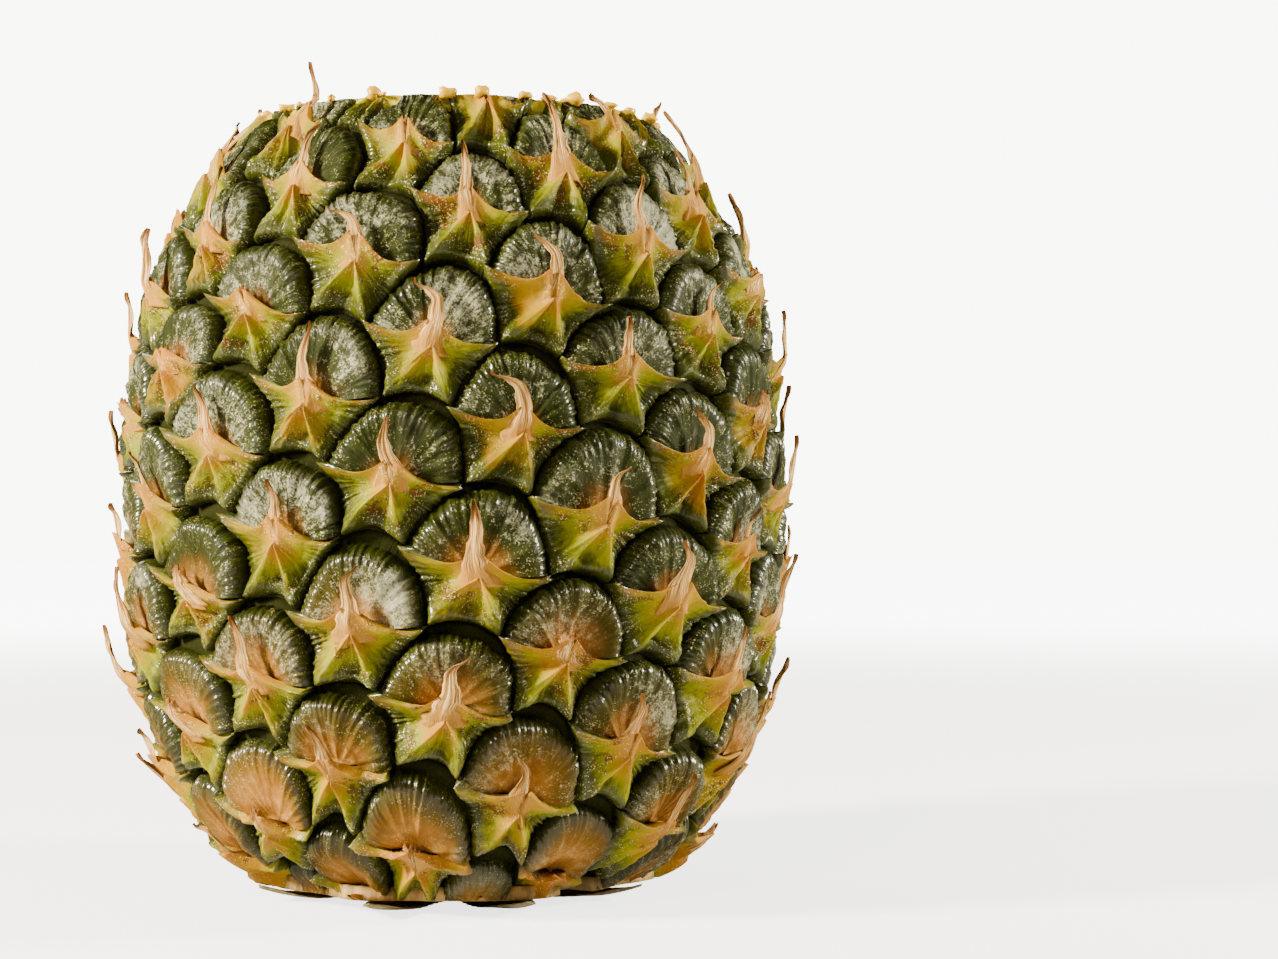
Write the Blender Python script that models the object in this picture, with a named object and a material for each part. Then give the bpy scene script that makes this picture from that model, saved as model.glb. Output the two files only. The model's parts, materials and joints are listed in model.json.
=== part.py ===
"""A whole pineapple with its crown sliced off, standing upright on its base.

Each eye of the rind is one cell of a spiral pattern: a domed cap above, a three-pointed
bract below and a dry spine growing up from the bract. The eyes have fused into one solid
fruit. The cut end of the stalk and the small dry leaves around it are separate pieces.
Metres, +Z up. The origin is the middle of the stalk's cut face, on the standing plane.
"""
import bisect
import math

import bmesh
import bpy
from mathutils import Vector

MM = 0.001
GAP = 0.3 * MM                   # clearance between pieces that touch

# Outer curve of the fruit, measured over the crests of the eyes
GIRTH_RADIUS = 67.5 * MM
GIRTH_HEIGHT = 76.0 * MM         # level of the widest girth
CUT_HEIGHT = 156.0 * MM          # level of the flat cut that took the crown off
CUT_RADIUS = 38.5 * MM
LEAF_THICKNESS = 1.3 * MM
LEAF_ROOM = 1.3 * MM             # free height over the leaves under the fruit
UNDERSIDE_HEIGHT = LEAF_THICKNESS + LEAF_ROOM
UNDERSIDE_RADIUS = 38.5 * MM
UPPER_SQUARENESS = 2.7           # 2 is an ellipse, higher is squarer
LOWER_SQUARENESS = 2.95
SIDE_ROUNDNESS = 2.2

# The spiral that the eyes grow along
EYE_TURN = math.radians(137.424)     # from one eye to the next
FIRST_EYE_TURN = math.radians(-117.3)
FIRST_EYE_HEIGHT = 0.2 * MM
EYE_RISE_LOW = 1.342 * MM        # climb from one eye to the next at the base
EYE_RISE_FALL = 0.00188 * MM     # how much that climb shrinks with each eye
SPARE_EYES = 24                  # eyes laid out past both cuts, then cut away

# One eye
GROOVE_DEPTH = 5.2 * MM          # from the crests down to the grooves between the eyes
CAP_RIM_RISE = 3.6 * MM          # height of the cap's rim above the groove
CAP_TOP_RISE = 4.6 * MM
BRACT_RIM_RISE = 2.4 * MM
BRACT_TOP_RISE = 4.4 * MM
RIM_SHARE = 0.84                 # where the rim ring lies between the root and the groove
TOP_SHARE = 0.5                  # where the top ring lies
CAP_BLEND = 2.0                  # how quickly bract gives way to cap across the wings
SPINE_ROOT_RISE = 5.2 * MM
SPINE_LENGTH = 11.5 * MM
SPINE_ROOT_WIDTH = 5.0 * MM
SPINE_ROOT_DEPTH = 2.2 * MM
SPINE_LEAN = 4.4 * MM            # how far the tip stands off above the spine's root
SPINE_THICKNESS = 1.1 * MM
SPINE_WAIST_WIDTH = 2.2 * MM     # width half way up the blade
SPINE_WAIST_LEAN = 0.35          # share of the lean reached half way up
SPINE_MARGIN = 3.0 * MM          # an eye this close to either cut has no spine

# Stalk stub and basal leaves
STALK_RADIUS = 13.0 * MM
STALK_TAPER = 1.2 * MM           # how much narrower the stub is at its inner end
STALK_LENGTH = 12.0 * MM
STALK_SIDES = 36
STALK_LOBE = 0.35 * MM           # the stub is faintly five-sided
LEAF_COUNT = 9
LEAF_REACH = 46.0 * MM           # from the fruit's axis to a leaf's tip
LEAF_WIDTH = 14.0 * MM
LEAF_TIP_WIDTH = 1.6 * MM
LEAF_TIP_LIFT = 2.2 * MM
LEAF_STATIONS = 9
LEAF_EDGE_SHARE = 0.55           # thickness at a leaf's edge against its midrib
LEAF_TIP_SHARE = 0.5             # thickness at a leaf's tip against its root
LEAF_ROOT_SWELL = 0.24           # how far round the leaf's bulging outline its root lies
LEAF_UNEVEN = 1.5 * MM           # how much shorter every next leaf of three is
LEAF_OFF_TURN = 0.2              # turn of the first leaf, as a share of a leaf's sector
LEAF_LIFT_START = 0.8 * UNDERSIDE_RADIUS

# Neighbours of an eye on its three families of spiral rows, as steps in eye number
STEP_A, STEP_B = 8, 13
STEP_C = STEP_A + STEP_B


# ---------------------------------------------------------------- materials
def make_material(name, colour, roughness):
    """Return a plain Principled material."""
    material = bpy.data.materials.new(name)
    material.use_nodes = True
    shader = material.node_tree.nodes["Principled BSDF"]
    shader.inputs["Base Color"].default_value = (*colour, 1.0)
    shader.inputs["Roughness"].default_value = roughness
    shader.inputs["Metallic"].default_value = 0.0
    material.diffuse_color = (*colour, 1.0)
    return material


def make_object(name, mesh_data, material):
    """Write a bmesh to a new object of its own and return the object."""
    mesh = bpy.data.meshes.new(name)
    mesh_data.to_mesh(mesh)
    mesh_data.free()
    mesh.materials.append(material)
    part = bpy.data.objects.new(name, mesh)
    bpy.context.scene.collection.objects.link(part)
    return part


# ---------------------------------------------------------------- outer curve
def closing_reach(run, radius, squareness):
    """Distance from the girth to where a curve that has this radius after run would close."""
    share = 1.0 - (radius / GIRTH_RADIUS) ** SIDE_ROUNDNESS
    return run / share ** (1.0 / squareness)


UPPER_REACH = closing_reach(CUT_HEIGHT - GIRTH_HEIGHT, CUT_RADIUS, UPPER_SQUARENESS)
LOWER_REACH = closing_reach(GIRTH_HEIGHT - UNDERSIDE_HEIGHT, UNDERSIDE_RADIUS, LOWER_SQUARENESS)


def crest_radius(height):
    """Radius over the crests; past either cut the curve carries on as a straight tube."""
    level = min(max(height, UNDERSIDE_HEIGHT), CUT_HEIGHT)
    if level > GIRTH_HEIGHT:
        share = ((level - GIRTH_HEIGHT) / UPPER_REACH) ** UPPER_SQUARENESS
    else:
        share = ((GIRTH_HEIGHT - level) / LOWER_REACH) ** LOWER_SQUARENESS
    return GIRTH_RADIUS * (1.0 - share) ** (1.0 / SIDE_ROUNDNESS)


class OuterCurve:
    """The fruit's outline as a curve measured by its own length."""

    STEP = 0.5 * MM

    def __init__(self, low, high):
        count = int((high - low) / self.STEP) + 1
        self.heights = [low + i * self.STEP for i in range(count + 1)]
        self.radii = [crest_radius(h) for h in self.heights]
        self.lengths = [0.0]
        for i in range(count):
            rise = self.heights[i + 1] - self.heights[i]
            spread = self.radii[i + 1] - self.radii[i]
            self.lengths.append(self.lengths[-1] + math.hypot(rise, spread))

    def length_at(self, height):
        """Distance along the curve at a height."""
        place = (height - self.heights[0]) / self.STEP
        i = min(max(int(place), 0), len(self.heights) - 2)
        return self.lengths[i] + (place - i) * (self.lengths[i + 1] - self.lengths[i])

    def point(self, turn, length, rise):
        """Point at a turn round the axis, a distance along the curve and a rise off the groove."""
        i = min(max(bisect.bisect_right(self.lengths, length) - 1, 0), len(self.lengths) - 2)
        part = (length - self.lengths[i]) / (self.lengths[i + 1] - self.lengths[i])
        height = self.heights[i] + part * (self.heights[i + 1] - self.heights[i])
        radius = self.radii[i] + part * (self.radii[i + 1] - self.radii[i])
        ahead, behind = self.smooth_slope(i)
        run = math.hypot(ahead, behind)
        off = rise - GROOVE_DEPTH
        radius += off * ahead / run
        height -= off * behind / run
        return Vector((radius * math.cos(turn), radius * math.sin(turn), height))

    def smooth_slope(self, i):
        """Rise and spread of the curve about step i, taken over a few millimetres."""
        reach = 6
        low, high = max(i - reach, 0), min(i + reach, len(self.heights) - 1)
        return self.heights[high] - self.heights[low], self.radii[high] - self.radii[low]


# ---------------------------------------------------------------- fruit
def eye_height(number):
    """Height of an eye's spine root; below the first eye the climb stays even."""
    if number < 0:
        return FIRST_EYE_HEIGHT + EYE_RISE_LOW * number
    return FIRST_EYE_HEIGHT + EYE_RISE_LOW * number - 0.5 * EYE_RISE_FALL * number ** 2


def turn_between(steps):
    """Turn from an eye to the one so many steps on, as the short way round."""
    return (steps * EYE_TURN + math.pi) % (2.0 * math.pi) - math.pi


class RindPattern:
    """Spiral pattern of the eyes, with the corners and edges that neighbours share."""

    def __init__(self, mesh):
        self.mesh = mesh
        self.last = 0
        while eye_height(self.last) < CUT_HEIGHT:
            self.last += 1
        self.first_laid, self.last_laid = -SPARE_EYES, self.last + SPARE_EYES
        low = eye_height(self.first_laid - STEP_C) - GROOVE_DEPTH
        high = eye_height(self.last_laid + STEP_C) + GROOVE_DEPTH
        self.curve = OuterCurve(low, high)
        self.shared = {}

    def place(self, number):
        """Turn and curve length of an eye's spine root."""
        return FIRST_EYE_TURN + number * EYE_TURN, self.curve.length_at(eye_height(number))

    def corner(self, number, side_step):
        """Where eye number, the one side_step on and the one STEP_C on meet."""
        turn, length = self.place(number)
        side_length = self.place(number + side_step)[1]
        upper_length = self.place(number + STEP_C)[1]
        turn += (turn_between(side_step) + turn_between(STEP_C)) / 3.0
        return turn, (length + side_length + upper_length) / 3.0

    def outline(self, number):
        """Corners and edge middles of an eye, anticlockwise from its right point."""
        keys = [(number - STEP_B, STEP_B), (number, STEP_A), (number, STEP_B),
                (number - STEP_A, STEP_A), (number - STEP_C, STEP_B), (number - STEP_C, STEP_A)]
        own_turn = self.place(number)[0]
        corners = []
        for key in keys:
            turn, length = self.corner(*key)
            off = (turn - own_turn + math.pi) % (2.0 * math.pi) - math.pi
            corners.append((key, own_turn + off, length))
        points = []
        for i, (key, turn, length) in enumerate(corners):
            next_key, next_turn, next_length = corners[(i + 1) % len(corners)]
            points.append((key, turn, length))
            edge = tuple(sorted((key, next_key)))
            points.append((edge, 0.5 * (turn + next_turn), 0.5 * (length + next_length)))
        return points

    def shared_vertex(self, key, turn, length):
        """Vertex in the groove, made once for the cells that meet at it."""
        if key not in self.shared:
            self.shared[key] = self.mesh.verts.new(self.curve.point(turn, length, 0.0))
        return self.shared[key]


def bearing(across, along):
    """Direction of a place within an eye, anticlockwise from its right side."""
    return math.atan2(along, across) % (2.0 * math.pi)


def stitch(mesh, outer, inner):
    """Fill between two rings of (bearing, vertex), both anticlockwise, with triangles."""
    outer, inner = sorted(outer, key=lambda p: p[0]), sorted(inner, key=lambda p: p[0])
    full = 2.0 * math.pi
    i = j = 0
    while i < len(outer) or j < len(inner):
        here, there = outer[i % len(outer)][1], inner[j % len(inner)][1]
        outer_next = outer[(i + 1) % len(outer)]
        inner_next = inner[(j + 1) % len(inner)]
        outer_at = outer_next[0] + (full if i + 1 >= len(outer) else 0.0)
        inner_at = inner_next[0] + (full if j + 1 >= len(inner) else 0.0)
        if j >= len(inner) or (i < len(outer) and outer_at <= inner_at):
            mesh.faces.new((here, outer_next[1], there))
            i += 1
        else:
            mesh.faces.new((here, inner_next[1], there))
            j += 1


def cell_rise(level, along_share):
    """Rise of the cell's surface above the groove; level 0 is the rim and 1 is the top."""
    cap = CAP_RIM_RISE + (CAP_TOP_RISE - CAP_RIM_RISE) * level
    bract = BRACT_RIM_RISE + (BRACT_TOP_RISE - BRACT_RIM_RISE) * level
    share = min(max(0.5 + CAP_BLEND * along_share, 0.0), 1.0)
    return bract + (cap - bract) * share


def build_eye(pattern, number):
    """Add one eye's cell; return its spine root's face, or None where the cell has none."""
    mesh, curve = pattern.mesh, pattern.curve
    turn, length = pattern.place(number)
    outline = pattern.outline(number)
    around = max(curve.point(0.0, length, GROOVE_DEPTH).x, UNDERSIDE_RADIUS)

    def inner_vertex(point_turn, point_length, share, level):
        off_turn, off_length = share * (point_turn - turn), share * (point_length - length)
        rise = cell_rise(level, off_length / (STEP_A * EYE_RISE_LOW))
        return mesh.verts.new(curve.point(turn + off_turn, length + off_length, rise))

    groove, rim, top = [], [], []
    for place, (key, point_turn, point_length) in enumerate(outline):
        side = bearing((point_turn - turn) * around, point_length - length)
        groove.append((side, pattern.shared_vertex(key, point_turn, point_length)))
        rim.append((side, inner_vertex(point_turn, point_length, RIM_SHARE, 0.0)))
        if place % 2 == 0:
            top.append((side, inner_vertex(point_turn, point_length, TOP_SHARE, 1.0)))
    root = []
    for across, along in ((0.5, 0.0), (0.0, 0.5), (-0.5, 0.0), (0.0, -0.5)):
        off = (across * SPINE_ROOT_WIDTH, along * SPINE_ROOT_DEPTH)
        spot = curve.point(turn + off[0] / around, length + off[1], SPINE_ROOT_RISE)
        root.append((bearing(*off), mesh.verts.new(spot)))
    stitch(mesh, groove, rim)
    stitch(mesh, rim, top)
    stitch(mesh, top, root)
    return mesh.faces.new([vertex for _, vertex in root])


def grow_spine(pattern, number, root_face):
    """Draw the spine out of its root as a tapering blade that leans off the cap."""
    mesh, curve = pattern.mesh, pattern.curve
    turn, length = pattern.place(number)
    root = list(root_face.verts)
    mesh.faces.remove(root_face)
    origin = curve.point(turn, length, SPINE_ROOT_RISE)
    outward = (curve.point(turn, length, SPINE_ROOT_RISE + MM) - origin).normalized()
    upward = (curve.point(turn, length + MM, SPINE_ROOT_RISE) - origin).normalized()
    sideways = upward.cross(outward)
    middle = origin + 0.5 * SPINE_LENGTH * upward + SPINE_WAIST_LEAN * SPINE_LEAN * outward
    tip = mesh.verts.new(origin + SPINE_LENGTH * upward + SPINE_LEAN * outward)
    half_width, half_depth = 0.5 * SPINE_WAIST_WIDTH, 0.5 * SPINE_THICKNESS
    blade = [mesh.verts.new(middle + half_width * sideways),
             mesh.verts.new(middle - half_depth * outward),
             mesh.verts.new(middle - half_width * sideways),
             mesh.verts.new(middle + half_depth * outward)]
    for i in range(4):
        j = (i + 1) % 4
        mesh.faces.new((root[i], root[j], blade[j], blade[i]))
        mesh.faces.new((blade[i], blade[j], tip))


def cut_flat(mesh, height, facing):
    """Cut the mesh off beyond a level plane and close it with a flat face."""
    everything = mesh.verts[:] + mesh.edges[:] + mesh.faces[:]
    normal = Vector((0.0, 0.0, facing))
    bmesh.ops.bisect_plane(mesh, geom=everything, dist=1e-7, plane_co=(0.0, 0.0, height),
                           plane_no=normal, clear_outer=True)
    rim = [edge for edge in mesh.edges if edge.is_boundary
           and all(abs(v.co.z - height) < 1e-6 for v in edge.verts)]
    bmesh.ops.triangle_fill(mesh, edges=rim, normal=normal, use_beauty=True)


def build_fruit():
    """The fused fruit: all eyes, cut flat above and below, each with its dry spine."""
    mesh = bmesh.new()
    pattern = RindPattern(mesh)
    spine_roots = []
    for number in range(pattern.first_laid, pattern.last_laid + 1):
        root_face = build_eye(pattern, number)
        lowest, highest = UNDERSIDE_HEIGHT + SPINE_MARGIN, CUT_HEIGHT - SPINE_MARGIN
        if lowest < eye_height(number) < highest:
            spine_roots.append((number, root_face))
    cut_flat(mesh, CUT_HEIGHT, 1.0)
    cut_flat(mesh, UNDERSIDE_HEIGHT, -1.0)
    for number, root_face in spine_roots:
        grow_spine(pattern, number, root_face)
    return mesh


# ---------------------------------------------------------------- stalk
def build_stalk(clearance):
    """The stalk's cut end, or the seat for it where clearance is more than nothing."""
    mesh = bmesh.new()
    ends = ((-clearance, STALK_RADIUS), (STALK_LENGTH + clearance, STALK_RADIUS - STALK_TAPER))
    rings = []
    for height, radius in ends:
        ring = []
        for i in range(STALK_SIDES):
            turn = 2.0 * math.pi * i / STALK_SIDES
            reach = radius + clearance + STALK_LOBE * math.cos(5.0 * turn)
            ring.append(mesh.verts.new((reach * math.cos(turn), reach * math.sin(turn), height)))
        rings.append(ring)
    low, high = rings
    mesh.faces.new(list(reversed(low)))
    mesh.faces.new(high)
    for i in range(STALK_SIDES):
        j = (i + 1) % STALK_SIDES
        mesh.faces.new((low[i], low[j], high[j], high[i]))
    return mesh


# ---------------------------------------------------------------- basal leaves
def leaf_half_width(share, reach):
    """Half the leaf's width at a share of its length, never wider than its sector."""
    swell = math.sin(math.pi * (LEAF_ROOT_SWELL + (1.0 - LEAF_ROOT_SWELL) * share))
    wanted = 0.5 * (LEAF_TIP_WIDTH + (LEAF_WIDTH - LEAF_TIP_WIDTH) * swell)
    sector = reach * math.sin(math.pi / LEAF_COUNT) - GAP
    return min(wanted, sector)


def build_leaf(number):
    """One small dry leaf, lying on the standing plane and curling up at its tip."""
    mesh = bmesh.new()
    turn = 2.0 * math.pi * (number + LEAF_OFF_TURN) / LEAF_COUNT
    along = Vector((math.cos(turn), math.sin(turn), 0.0))
    across = Vector((-math.sin(turn), math.cos(turn), 0.0))
    root_reach = STALK_RADIUS + STALK_LOBE + GAP
    tip_reach = LEAF_REACH - LEAF_UNEVEN * (number % 3)
    strips = []
    for i in range(LEAF_STATIONS):
        share = i / (LEAF_STATIONS - 1)
        reach = root_reach + share * (tip_reach - root_reach)
        half = leaf_half_width(share, reach)
        lifting = max(reach - LEAF_LIFT_START, 0.0) / (tip_reach - LEAF_LIFT_START)
        lift = LEAF_TIP_LIFT * lifting ** 2
        thickness = LEAF_THICKNESS * (1.0 - (1.0 - LEAF_TIP_SHARE) * share)
        strip = []
        for side, level in ((-1, 0.0), (0, 0.0), (1, 0.0), (1, LEAF_EDGE_SHARE), (0, 1.0),
                            (-1, LEAF_EDGE_SHARE)):
            spot = along * reach + across * side * half
            spot.z = lift + level * thickness
            strip.append(mesh.verts.new(spot))
        strips.append(strip)
    for near, far in zip(strips, strips[1:]):
        for i in range(6):
            j = (i + 1) % 6
            mesh.faces.new((near[i], near[j], far[j], far[i]))
    mesh.faces.new(list(reversed(strips[0])))
    mesh.faces.new(strips[-1])
    bmesh.ops.recalc_face_normals(mesh, faces=mesh.faces[:])
    return mesh


# ---------------------------------------------------------------- run
def clear_scene():
    """Remove every object of the scene."""
    for old in list(bpy.data.objects):
        bpy.data.objects.remove(old, do_unlink=True)


def seat_stalk(fruit, material):
    """Cut the stalk's seat out of the fruit with a cutter that stays in the file."""
    cutter = make_object("stalk_seat_cutter", build_stalk(GAP), material)
    cutter.hide_render = True
    cutter.display_type = "WIRE"
    seat = fruit.modifiers.new("stalk_seat", "BOOLEAN")
    seat.object = cutter
    seat.operation = "DIFFERENCE"
    seat.solver = "EXACT"


def main():
    """Build every piece in place."""
    clear_scene()
    rind = make_material("rind", (0.09, 0.12, 0.03), 0.5)
    stalk = make_material("stalk", (0.42, 0.30, 0.16), 0.8)
    leaf = make_material("leaf", (0.10, 0.09, 0.03), 0.7)
    fruit = make_object("pineapple_fruit", build_fruit(), rind)
    seat_stalk(fruit, stalk)
    make_object("stalk_stub", build_stalk(0.0), stalk)
    for number in range(LEAF_COUNT):
        make_object(f"basal_leaf_{number + 1}", build_leaf(number), leaf)


main()
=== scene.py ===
"""A whole pineapple with its crown sliced off: the visible surface of every piece.

Its sizes and places are those of the CAD model. The rind is laid out flat, with one fruitlet
at each step of the growth spiral, and Geometry Nodes repeat the fruitlets and wrap them round
the fruit. Lengths are in metres.
"""
import json
import logging
import math
from dataclasses import dataclass, field
from enum import Enum
from typing import Any, Iterable, Sequence

import bmesh
import bpy
import numpy as np
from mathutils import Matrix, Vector

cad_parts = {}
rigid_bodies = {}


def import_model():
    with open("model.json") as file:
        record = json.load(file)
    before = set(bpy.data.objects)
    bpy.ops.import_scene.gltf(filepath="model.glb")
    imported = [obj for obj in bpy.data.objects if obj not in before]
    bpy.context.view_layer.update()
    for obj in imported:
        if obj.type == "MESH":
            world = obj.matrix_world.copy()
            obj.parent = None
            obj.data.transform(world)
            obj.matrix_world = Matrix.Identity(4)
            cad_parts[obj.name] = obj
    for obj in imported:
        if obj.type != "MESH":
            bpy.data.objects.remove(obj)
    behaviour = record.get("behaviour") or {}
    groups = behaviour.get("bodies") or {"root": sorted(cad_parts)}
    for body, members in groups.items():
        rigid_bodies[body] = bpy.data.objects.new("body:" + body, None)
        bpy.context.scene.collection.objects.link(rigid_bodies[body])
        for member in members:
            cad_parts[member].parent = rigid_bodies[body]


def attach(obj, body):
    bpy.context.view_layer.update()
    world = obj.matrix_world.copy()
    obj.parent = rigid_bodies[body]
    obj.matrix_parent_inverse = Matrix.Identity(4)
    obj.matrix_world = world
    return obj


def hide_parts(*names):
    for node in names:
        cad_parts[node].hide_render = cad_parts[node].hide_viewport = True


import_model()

LOG = logging.getLogger("pineapple")
MM = 0.001
TAU = 2.0 * math.pi
BAKE_MAP = "OFBake"
SECTION_CORNER = (0.885, 0.875)
SECTION_PATCH = 0.09
Number = float | int
Colour = tuple[float, float, float]
Faces = list[Sequence[int]]
Places = list[tuple[float, float]]


# --------------------------------------------------------------------- node graphs
class Value:
    """A number in a node tree; arithmetic on it adds Math nodes."""

    def __init__(self, graph: "Graph", socket: bpy.types.NodeSocket) -> None:
        """Wrap one output socket of a graph."""
        self.graph = graph
        self.socket = socket

    def __add__(self, other: "Value | Number") -> "Value":
        """Sum."""
        return self.graph.math("ADD", self, other)

    __radd__ = __add__

    def __mul__(self, other: "Value | Number") -> "Value":
        """Product."""
        return self.graph.math("MULTIPLY", self, other)

    __rmul__ = __mul__

    def __sub__(self, other: "Value | Number") -> "Value":
        """Difference."""
        return self.graph.math("SUBTRACT", self, other)

    def __rsub__(self, other: Number) -> "Value":
        """Difference from a plain number."""
        return self.graph.math("SUBTRACT", other, self)

    def __truediv__(self, other: "Value | Number") -> "Value":
        """Quotient."""
        return self.graph.math("DIVIDE", self, other)

    def __rtruediv__(self, other: Number) -> "Value":
        """Plain number divided by this."""
        return self.graph.math("DIVIDE", other, self)

    def __pow__(self, other: "Value | Number") -> "Value":
        """Power."""
        return self.graph.math("POWER", self, other)

    def at_least(self, other: "Value | Number") -> "Value":
        """The larger of the two."""
        return self.graph.math("MAXIMUM", self, other)

    def at_most(self, other: "Value | Number") -> "Value":
        """The smaller of the two."""
        return self.graph.math("MINIMUM", self, other)

    def between(self, low: Number, high: Number) -> "Value":
        """Smooth step between two values of this number.

        Args:
            low: where the step is 0.
            high: where it is 1, on either side of low.
        Returns:
            The step.
        """
        first, last = (low, high) if low < high else (high, low)
        ends = (0.0, 1.0) if low < high else (1.0, 0.0)
        node = self.graph.add("ShaderNodeMapRange", {"interpolation_type": "SMOOTHSTEP"},
                              {"Value": self, "From Min": first, "From Max": last,
                               "To Min": ends[0], "To Max": ends[1]})
        return Value(self.graph, node.outputs["Result"])


class Graph:
    """Adds nodes to one shader or geometry tree."""

    def __init__(self, tree: bpy.types.NodeTree) -> None:
        """Start on a tree."""
        self.tree = tree

    def add(self, kind: str, settings: dict[str, Any] | None = None,
            values: dict[str | int, Any] | None = None) -> bpy.types.Node:
        """Add a node.

        Args:
            kind: the node's type name.
            settings: its own settings, set before anything else.
            values: plain values, sockets or Values for its inputs, by name or number.
        Returns:
            The new node.
        """
        node = self.tree.nodes.new(kind)
        for name, setting in (settings or {}).items():
            setattr(node, name, setting)
        for key, value in (values or {}).items():
            self.feed(node.inputs[key], value)
        return node

    def feed(self, socket: bpy.types.NodeSocket, value: Any) -> None:
        """Link a socket or Value to an input, or set a plain value on it.

        Args:
            socket: the input.
            value: what it gets.
        """
        source = value.socket if isinstance(value, Value) else value
        if isinstance(source, bpy.types.NodeSocket):
            self.tree.links.new(source, socket)
        else:
            socket.default_value = source

    def math(self, operation: str, *operands: Any) -> Value:
        """Add a Math node and return its result."""
        node = self.add("ShaderNodeMath", {"operation": operation}, dict(enumerate(operands)))
        return Value(self, node.outputs[0])

    def parts(self, vector: bpy.types.NodeSocket) -> tuple[Value, Value, Value]:
        """Split a vector into its three numbers."""
        node = self.add("ShaderNodeSeparateXYZ", None, {0: vector})
        return tuple(Value(self, out) for out in node.outputs)

    def vector(self, x: Any, y: Any, z: Any) -> bpy.types.NodeSocket:
        """Join three numbers into a vector."""
        return self.add("ShaderNodeCombineXYZ", None, {0: x, 1: y, 2: z}).outputs[0]

    def vector_math(self, operation: str, *operands: Any) -> bpy.types.NodeSocket:
        """Add a Vector Math node.

        Args:
            operation: the node's operation.
            operands: its inputs in order, the second a plain factor for SCALE.
        Returns:
            The node's vector.
        """
        values = dict(enumerate(operands))
        if operation == "SCALE":
            values = {0: operands[0], "Scale": operands[1]}
        return self.add("ShaderNodeVectorMath", {"operation": operation}, values).outputs[0]

    def noise(self, vector: Any, scale: Number, detail: Number = 3.0,
              roughness: Number = 0.55) -> Value:
        """Noise from 0 to 1 at a place.

        Args:
            vector: the place.
            scale: how fine the noise is.
            detail: how many finer layers it has.
            roughness: how strong those are.
        Returns:
            The noise.
        """
        node = self.add("ShaderNodeTexNoise", None,
                        {"Vector": vector, "Scale": scale, "Detail": detail,
                         "Roughness": roughness})
        return Value(self, node.outputs[0])

    def mix(self, share: Any, low: Any, high: Any) -> bpy.types.NodeSocket:
        """Mix two colours.

        Args:
            share: how much of the second, clamped from 0 to 1.
            low: the first colour or socket.
            high: the second.
        Returns:
            The mixed colour.
        """
        node = self.add("ShaderNodeMix", {"data_type": "RGBA", "clamp_factor": True},
                        {0: share, 6: rgba(low), 7: rgba(high)})
        return node.outputs[2]


def rgba(colour: Any) -> Any:
    """Give a plain colour its alpha; leave a socket as it is."""
    return (*colour, 1.0) if isinstance(colour, tuple) and len(colour) == 3 else colour


# --------------------------------------------------------------------- meshes
@dataclass
class Sheet:
    """Points, faces and what they carry, on the way to becoming a mesh."""

    points: np.ndarray
    faces: Faces
    corner_map: np.ndarray | None = None
    numbers: dict[str, np.ndarray] = field(default_factory=dict)

    def to_mesh(self, name: str) -> bpy.types.Mesh:
        """Make the mesh, smooth, with its map and its attributes.

        Args:
            name: the mesh's name.
        Returns:
            The mesh.
        """
        mesh = bpy.data.meshes.new(name)
        mesh.from_pydata(self.points.tolist(), [], self.faces)
        mesh.shade_smooth()
        if self.corner_map is not None:
            layer = mesh.uv_layers.new(name=BAKE_MAP)
            layer.data.foreach_set("uv", np.asarray(self.corner_map, np.float32).ravel())
        for label, numbers in self.numbers.items():
            kind = "FLOAT_VECTOR" if numbers.ndim == 2 else "FLOAT"
            layer = mesh.attributes.new(label, kind, "POINT")
            key = "vector" if numbers.ndim == 2 else "value"
            layer.data.foreach_set(key, np.asarray(numbers, np.float32).ravel())
        return mesh


def link(name: str, mesh: bpy.types.Mesh) -> bpy.types.Object:
    """Put a mesh in the scene as an object of its own.

    Args:
        name: the object's name.
        mesh: its mesh.
    Returns:
        The object.
    """
    piece = bpy.data.objects.new(name, mesh)
    bpy.context.scene.collection.objects.link(piece)
    return piece


def piece_of(sheet: Sheet, name: str, material: bpy.types.Material) -> bpy.types.Object:
    """Make a sheet a piece with one material.

    Args:
        sheet: the shape.
        name: the piece's name.
        material: its finish.
    Returns:
        The piece.
    """
    mesh = sheet.to_mesh(name)
    mesh.materials.append(material)
    return link(name, mesh)


def pour(target: bmesh.types.BMesh, mesh: bpy.types.Mesh) -> None:
    """Add a mesh to a bmesh and drop it."""
    target.from_mesh(mesh)
    bpy.data.meshes.remove(mesh)


def settle(source: bmesh.types.BMesh, name: str,
           material: bpy.types.Material) -> bpy.types.Object:
    """Make a bmesh a piece with one material and free it.

    Args:
        source: the shape.
        name: the piece's name.
        material: its finish.
    Returns:
        The piece.
    """
    mesh = bpy.data.meshes.new(name)
    source.to_mesh(mesh)
    source.free()
    mesh.materials.append(material)
    return link(name, mesh)


def domed_faces(rings: int, steps: int) -> tuple[Faces, int]:
    """Faces of a closed body of rings between a front pole and a back pole.

    Args:
        rings: how many rings there are, from the front pole outward.
        steps: points in each ring; the two poles are the points after the last ring.
    Returns:
        The faces, and how many of them come before those of the flat back.
    """
    last, front_pole = (rings - 1) * steps, rings * steps
    faces: Faces = []
    for j in range(steps):
        k = (j + 1) % steps
        faces.append((front_pole, j, k))
        faces += [(low + j, low + steps + j, low + steps + k, low + k)
                  for low in range(0, last, steps)]
    front = len(faces)
    faces += [(last + (j + 1) % steps, last + j, front_pole + 1) for j in range(steps)]
    return faces, front


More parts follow.
